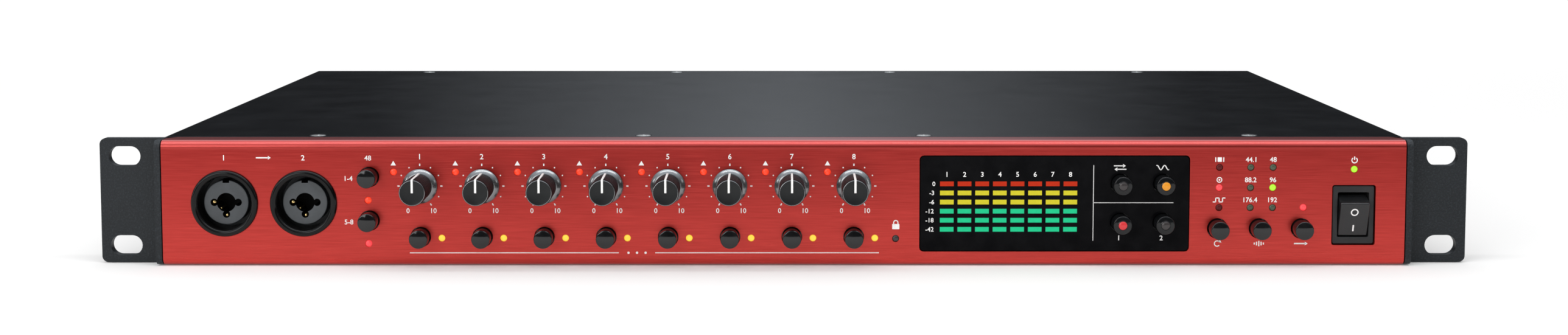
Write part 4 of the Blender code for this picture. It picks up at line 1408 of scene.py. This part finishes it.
def clock_print(bm):
    for z, pair in zip(STATUS_Z, RATES):
        for x, text in zip(STATUS_X[1:], pair):
            add_number(bm, text, x, z + SIGN_RISE, SMALL_NUMBER)
    x = STATUS_X[0]
    crystal, eye, wave = (z + SIGN_RISE for z in STATUS_Z)
    for dx in (-1.4, 1.4):
        add_bar(bm, (x + dx, crystal - 0.8), (x + dx, crystal + 0.8), 0.35)
    ink(bm, round_box(x, crystal, 1.5, 1.6, 0.15))
    add_stroke(bm, arc((x, eye), 0.85, 0, 360, 20), 0.32)
    ink(bm, circle(x, eye, 0.32, 16))
    add_stroke(bm, [(x + dx, wave - 0.05 + dz) for dx, dz in SQUARE_WAVE], 0.34)


def button_signs(bm):
    (clock, _), (rate, _), (route, _) = spots(LONE_BUTTONS[2:])
    add_stroke(bm, arc((clock, SIGN_Z), 0.95, 40, 320, 20), FINE)
    ink(bm, [(clock + 0.35, SIGN_Z + 0.55), (clock + 1.5, SIGN_Z + 0.35), (clock + 0.95, SIGN_Z + 1.35)])
    for i, height in enumerate((0.7, 1.3, 1.9, 1.3, 0.7)):
        x = rate + (i - 2) * 0.8
        add_bar(bm, (x, SIGN_Z - height / 2), (x, SIGN_Z + height / 2), 0.4)
    add_arrow(bm, route - 2.4, route + 2.4, SIGN_Z, BOLD)
    x, z = POWER_LAMP[0], POWER_LAMP[1] + 3.2
    add_stroke(bm, arc((x, z), 0.95, 125, 415, 24), FINE)
    add_bar(bm, (x, z + 0.1), (x, z + 1.3), FINE)


def panel_print(bm):
    for part in (channel_print, input_print, group_line, padlock, clock_print, button_signs):
        part(bm)


ink_piece("panel_print", panel_print, "red_lacquer")

# %% [markdown]
# The window carries the same ink: channel numbers over the bars, levels beside them, and signs at its
# four buttons. The sockets at the rear are numbered too.

# %% Print on the window and the rear
WINDOW_LINE = 0.2
LEVELS = ("0", "-3", "-6", "-12", "-18", "-42")
LEVEL_HEIGHT = 1.6
COLUMN_NUMBER_Z = 32.5
RULE_X, RULE_Z = 108.5, 22.45
RULES = (((RULE_X, 9.0), (RULE_X, 35.75)), ((RULE_X, RULE_Z), (136.6, RULE_Z)))
WINDOW_SIGN_Z = 34.9
INSTRUMENT_Z = 10.0
REAR_DEPTH = (BACK - FRONT) / MM
REAR_NUMBER_Z = 38.6
REAR_NUMBER = 2.2


def window_print(bm):
    depth = WINDOW_DEPTH
    for i in range(CHANNELS):
        add_number(bm, str(i + 1), BAR_FIRST_X + BAR_STEP_X * i, COLUMN_NUMBER_Z, SMALL_NUMBER, depth)
    for i, text in enumerate(LEVELS):
        add_number(bm, text, 53.3 - 0.72 * len(text), BAR_TOP_Z - BAR_STEP_Z * i, LEVEL_HEIGHT, depth)
    for start, end in RULES:
        add_bar(bm, start, end, WINDOW_LINE, depth)
    (insert, _), (tone, _), *instruments = spots(WINDOW_BUTTONS)
    x, z = insert - 0.3, WINDOW_SIGN_Z
    add_arrow(bm, x - 2.2, x + 2.0, z + 0.6, FINE, depth)
    add_arrow(bm, x + 2.2, x - 2.0, z - 0.6, FINE, depth)
    x = tone - 0.3
    wave = [(x + i / 10, z + 0.8 * math.sin(i / 10 * 2.4)) for i in range(-22, 23, 2)]
    add_stroke(bm, wave, FINE, depth)
    for number, (x, _) in enumerate(instruments, 1):
        add_number(bm, str(number), x - 0.5, INSTRUMENT_Z, SMALL_NUMBER, depth)


def rear_print(bm):
    for number, (x, _) in enumerate(spots(REAR_JACKS), 3):
        add_number(bm, str(number), x, REAR_NUMBER_Z, REAR_NUMBER, REAR_DEPTH, True)


ink_piece("rear_print", rear_print, "black_powder_coat")
ink_piece("window_print", window_print, "dark_window")

# %% [markdown]
# The rear is not in the photograph, so it stays plain: the usual sockets of such a unit with the details
# that make them readable. Depths here are millimetres out from the rear plate.

# %% Multi-pole socket
REAR_Z = 22.0
SHELL_WALL = 0.7
WEDGE_HALF = 4.2
WEDGE_LONG, WEDGE_SHORT = 19.3, 17.9
POLE_ROWS = ((13, 1.42), (12, -1.42))
POLE_STEP = 2.77
POST_X = 23.5


def rear_push(bm, outline, start, end):
    push(bm, outline, REAR_DEPTH + start, REAR_DEPTH + end)


def rear_drill(bm, places, radius, start, end, steps):
    drill(bm, places, radius, REAR_DEPTH + start, REAR_DEPTH + end, steps)


def rear_box(x, width, height, radius):
    """A rounded rectangle round a place on the rear's middle line."""
    return round_box(x, REAR_Z, width, height, radius)


def wedge(x, margin):
    """The slanted outline of a multi-pole plug, larger or smaller by a margin."""
    half = WEDGE_HALF + margin
    long = WEDGE_LONG + margin
    short = WEDGE_SHORT + margin
    low, high = REAR_Z - half, REAR_Z + half
    return [(x - short, low), (x + short, low), (x + long, high), (x - long, high)]


def multipin_socket(node):
    x = middle(node).x / MM
    inside = (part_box(node)[0].y - BACK) / MM
    poles = [(x + (i - (n - 1) / 2) * POLE_STEP, REAR_Z + dz) for n, dz in POLE_ROWS for i in range(n)]
    posts = [(x - POST_X, REAR_Z), (x + POST_X, REAR_Z)]
    plate = rear_box(x, 53.0, 12.5, 1.6)
    shell = mesh_object("multipin_shell", lambda bm: rear_push(bm, plate, 0.3, 1.3), STEEL)
    carve(shell, lambda bm: rear_push(bm, wedge(x, 0.0), 0.8, 6.3), "UNION")
    carve(shell, lambda bm: rear_push(bm, wedge(x, -SHELL_WALL), 1.0, 7.0))

    def insert(bm):
        rear_push(bm, wedge(x, -SHELL_WALL), -0.2, 5.0)
        rear_push(bm, rear_box(x, 40.0, 9.6, 0.6), inside, 0.29)

    parts = [
        soften(shell, 0.25),
        mesh_object("multipin_insert", insert, JACK_BLACK),
        mesh_object("multipin_poles", lambda bm: rear_drill(bm, poles, 0.55, 4.4, 5.02, 14), GOLD),
        mesh_object("multipin_posts", lambda bm: rear_drill(bm, posts, 2.5, 1.2, 5.6, 6), DARK_STEEL),
        # painted shade: a dark disc on each post's end stands for its threaded hole
        mesh_object("multipin_threads", lambda bm: rear_drill(bm, posts, 1.35, 5.0, 5.62, 20), PAINTED_HOLE_SHADE),
    ]
    fit(join("multipin_socket", parts), "case", "bright_steel", node)
    print(node, "poles", len(poles))


multipin_socket("multipin_connector")

# %% [markdown]
# The clock sockets are turned steel barrels with two small lugs each, round a white ring and a gold pin.

# %% Bayonet sockets
BAYONET_HALF_STEP = 9.0
BARREL = [(3.6, 2.0), (3.6, 9.7), (3.8, 10.0), (4.6, 10.0), (4.8, 9.8), (4.8, 8.6)]
BARREL += [(4.55, 8.4), (4.55, 6.0), (4.8, 5.8), (4.8, 2.2), (6.4, 2.2), (6.7, 1.9)]
BARREL += [(6.7, 0.1), (4.8, 0.1), (4.8, -5.0), (0, -5.0), (0, 2.0), (3.6, 2.0)]
RING = [(1.3, 1.9), (1.3, 6.6), (3.2, 6.6), (3.2, 1.9), (1.3, 1.9)]
PIN = [(0.5, 3.0), (0.5, 7.0), (1.2, 7.0), (1.2, 1.9), (0, 1.9), (0, 3.0), (0.5, 3.0)]
LUG_CLEARANCE = [(0, 6.0), (3.7, 6.0), (3.7, 9.0), (0, 9.0)]


def bayonet_sockets(node):
    centre = middle(node)
    xs = [centre.x / MM + side * BAYONET_HALF_STEP for side in (-1, 1)]
    inside = (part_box(node)[0].y - BACK) / MM

    def pair(profile):
        def build(bm):
            for x in xs:
                turn(bm, profile, 48, Vector((x * MM, BACK, centre.z)))
        return build

    def lugs(bm):
        for x in xs:
            rear_push(bm, oblong(x - 5.7, 21.2, x + 5.7, 22.8), 7.0, 8.2)

    block = rear_box(centre.x / MM, 32.0, 14.0, 0.6)
    parts = [
        shade(mesh_object("bayonet_barrels", pair(BARREL), STEEL)),
        shade(mesh_object("bayonet_rings", pair(RING), WHITE_INK)),
        shade(mesh_object("bayonet_pins", pair(PIN), GOLD)),
        mesh_object("bayonet_block", lambda bm: rear_push(bm, block, inside, -2.0), JACK_BLACK),
        carve(mesh_object("bayonet_lugs", lugs, STEEL), pair(LUG_CLEARANCE)),
    ]
    fit(join("bayonet_sockets", parts), "case", "bright_steel", node)
    print(node, "barrels", len(xs))


bayonet_sockets("clock_sockets")

# %% [markdown]
# The inlet has three flat blades, each optical port a small dark lens, and the rear plate a few pan-head
# screws.

# %% Inlet, optical ports and rear screws
BLADES = ((-7.0, -2.0), (7.0, -2.0), (0.0, 2.0))
BLADE_SIZE = (2.1, 4.1)
PORTS = 4
PORT_PITCH = 12.0
PORT_DEPTH = -6.2
PORT_LENS = [(0, 0.5), (0.7, 0.42), (1.1, 0.2), (1.2, 0.0), (1.2, -0.1), (0, -0.1)]
PAN_HEAD = [(0, 1.15), (1.1, 1.1), (2.0, 0.85), (2.55, 0.4), (2.65, 0.0), (2.65, -0.2), (0, -0.2)]
REAR_SCREWS = [(x, z) for x in (-211.0, 211.0) for z in (8.5, 36.0)]
REAR_SCREWS += [(-32.0, 36.0), (86.0, 36.0), (150.0, 8.5)]


def inlet_blades(bm):
    x = middle("mains_inlet").x / MM
    for dx, dz in BLADES:
        rear_push(bm, round_box(x + dx, REAR_Z + dz, *BLADE_SIZE, 0.4, 3), -13.9, -1.9)


def head_recess(bm):
    for arm in cross_arms(1.4, 0.35):
        prism(bm, arm, 0.3, 2.0)


blades = soften(mesh_object("inlet_blades", inlet_blades, STEEL), 0.2)
fit(blades, "case", "bright_steel")
port_xs = [(i - (PORTS - 1) / 2) * PORT_PITCH for i in range(PORTS)]
port_places = [on_panel(x, REAR_DEPTH + PORT_DEPTH, REAR_Z) for x in port_xs]
port_lens = turned("port_lens", PORT_LENS, 24, RED_DARK)
lenses = copy_on_points("optical_lenses", port_lens, RED_DARK, port_places)
fit(lenses, "case", "clear_plastic")
head = carve(turned("pan_head", PAN_HEAD, 32, STEEL), head_recess)
screw_places = [on_panel(x, REAR_DEPTH, z) for x, z in REAR_SCREWS]
rear_screws = copy_on_points("rear_screws", head, STEEL, screw_places)
fit(rear_screws, "case", "bright_steel")
print("blades", len(BLADES), "lenses", PORTS, "rear screws", len(REAR_SCREWS))

# %% [markdown]
# The remaining solids keep their shapes and take a finish each: the tray and rear plate in the cover's
# powder coat, the boards in green laminate, the rear connectors in black plastic.

# %% Finishes of the carried-over solids
KEPT = (
    (COVER_BLACK, ("chassis_tray", "rear_panel")),
    (CLEAR, ("overload_light_guide", "channel_light_guide", "clock_light_guide")),
    (BOARD, ("front_board", "main_board", "power_supply")),
    (JACK_BLACK, ("mains_inlet", "optical_ports")),
)
for finish, nodes in KEPT:
    for node in nodes:
        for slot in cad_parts[node].material_slots:
            slot.material = finish
    print(finish.name, "on", *nodes)

# %% [markdown]
# The stage is a white floor in white surroundings. The floor's own light grows with the distance from the
# unit, so the floor turns white in the open; next to the unit its own light fades, a painted shadow that
# adds
# to the real shadow at the contact. The camera sees the world as white, but reflections see a studio sky:
# dim at the horizon, bright overhead, with a glow behind.

# %% Floor
FLOOR_HALF = 4.0
FLOOR_GLOW = 0.26
FLOOR_LEVEL = 1.6
# the next two values shape a painted shadow: next to the unit the floor keeps little of its own light
FLOOR_FADE = (0.05, 0.9)
FLOOR_NEAR = 0.16
FLOOR_PAINT = (0.9, 0.9, 0.9, 1.0)


def white_floor():
    material = bpy.data.materials.new("white_floor")
    material.use_nodes = True
    tree = material.node_tree
    tree.nodes.clear()
    x, y, _ = axes_of(object_place(tree))
    beside = x.math("ABSOLUTE", 0.0) - cad_box[1].x
    before = y.math("ABSOLUTE", 0.0) - cad_box[1].y
    # painted shadow: the floor's own light is lowest next to the unit and grows with distance
    painted_shadow_fade = contrast(beside.math("MAXIMUM", before), *FLOOR_FADE)
    glow_share_with_painted_shadow = (painted_shadow_fade * (1.0 - FLOOR_NEAR) + FLOOR_NEAR) * FLOOR_GLOW
    lit = Wire.make(tree, "ShaderNodeBsdfDiffuse", {"Color": FLOOR_PAINT})
    own = Wire.make(tree, "ShaderNodeEmission", {"Color": WHITE, "Strength": FLOOR_LEVEL})
    mixed = Wire.make(tree, "ShaderNodeMixShader", {0: glow_share_with_painted_shadow, 1: lit, 2: own})
    Wire.make(tree, "ShaderNodeOutputMaterial", {"Surface": mixed})
    return material


def floor_shape(bm):
    corners = oblong(-FLOOR_HALF, -FLOOR_HALF, FLOOR_HALF, FLOOR_HALF)
    bm.faces.new([bm.verts.new((x, y, 0.0)) for x, y in corners])


floor = mesh_object("floor", floor_shape, white_floor())
print("floor", 2 * FLOOR_HALF, "m wide")

# %% [markdown]
# A long strip hangs above the unit and a narrow one stands at each side. A large lamp at the front left
# lights the face.

# %% World and lamps
AMBIENT = 0.88
SKY_STOPS = ((0.0, 0.007), (0.25, 0.014), (0.5, 0.4), (0.8, 1.0))
SKY_LEVEL = 1.45
SKY_TINT = (0.87, 0.93, 1.0, 1.0)
GLOW_HALF = 0.18
GLOW_DEPTHS = (0.3, 0.9)
GLOW_HEIGHTS = (0.08, 0.15)
GLOW_LEVEL = 0.46
SIDE_TARGET = (0.0, -0.15, 0.02)
LAMPS = (
    ("top_strip", (0.0, -0.4, 1.0), (0.0, -0.1, 0.0), (1.4, 0.1), 3.6),
    ("left_strip", (-1.3, -0.55, 0.3), SIDE_TARGET, (0.12, 0.5), 1.6),
    ("right_strip", (1.3, -0.55, 0.3), SIDE_TARGET, (0.12, 0.5), 0.8),
    ("front_lamp", (-0.95, -1.5, 0.6), (0.0, -0.1, 0.02), (1.0, 0.6), 7.0),
)


def studio_sky(way):
    """Strength of the sky that reflections see, by direction."""
    x, y, z = axes_of(way)
    ramp = Wire.make(way.tree, "ShaderNodeValToRGB", {"Fac": z})
    elements = ramp.socket.node.color_ramp.elements
    while len(elements) < len(SKY_STOPS):
        elements.new(0.5)
    for element, (place, grey) in zip(elements, SKY_STOPS):
        element.position = place
        element.color = (grey, grey, grey, 1.0)
    glow = contrast(x.math("ABSOLUTE", 0.0), GLOW_HALF, 0.0) * contrast(y, *GLOW_DEPTHS)
    return ramp * SKY_LEVEL + glow * contrast(z, *GLOW_HEIGHTS) * GLOW_LEVEL


def white_world():
    world = bpy.data.worlds.new("white_world")
    bpy.context.scene.world = world
    world.use_nodes = True
    tree = world.node_tree
    tree.nodes.clear()

    def background(colour, strength):
        return Wire.make(tree, "ShaderNodeBackground", {"Color": colour, "Strength": strength})

    path = Wire.make(tree, "ShaderNodeLightPath")
    way = Wire.make(tree, "ShaderNodeTexCoord", out="Generated")
    mirrored = background(SKY_TINT, studio_sky(way))
    choice = {0: path.output("Is Glossy Ray"), 1: background(WHITE, AMBIENT), 2: mirrored}
    light = Wire.make(tree, "ShaderNodeMixShader", choice)
    direct = path.output("Is Camera Ray").math("MAXIMUM", path.output("Is Transmission Ray"))
    mixed = Wire.make(tree, "ShaderNodeMixShader", {0: direct, 1: light, 2: background(WHITE, 1.0)})
    Wire.make(tree, "ShaderNodeOutputWorld", {"Surface": mixed})


def soft_lamp(name, place, target, size, power):
    data = bpy.data.lights.new(name, "AREA")
    data.shape = "RECTANGLE"
    data.size, data.size_y = size
    data.energy = power
    obj = add_object(name, data)
    obj.location = place
    obj.rotation_euler = (Vector(target) - Vector(place)).to_track_quat("-Z", "Y").to_euler()
    obj.visible_camera = False


white_world()
for values in LAMPS:
    soft_lamp(*values)
print("lamps", len(LAMPS))

# %% [markdown]
# Last, the size of the solids' box.

# %% Sizes
print("CAD box", [round(v, 4) for v in cad_box[1] - cad_box[0]])
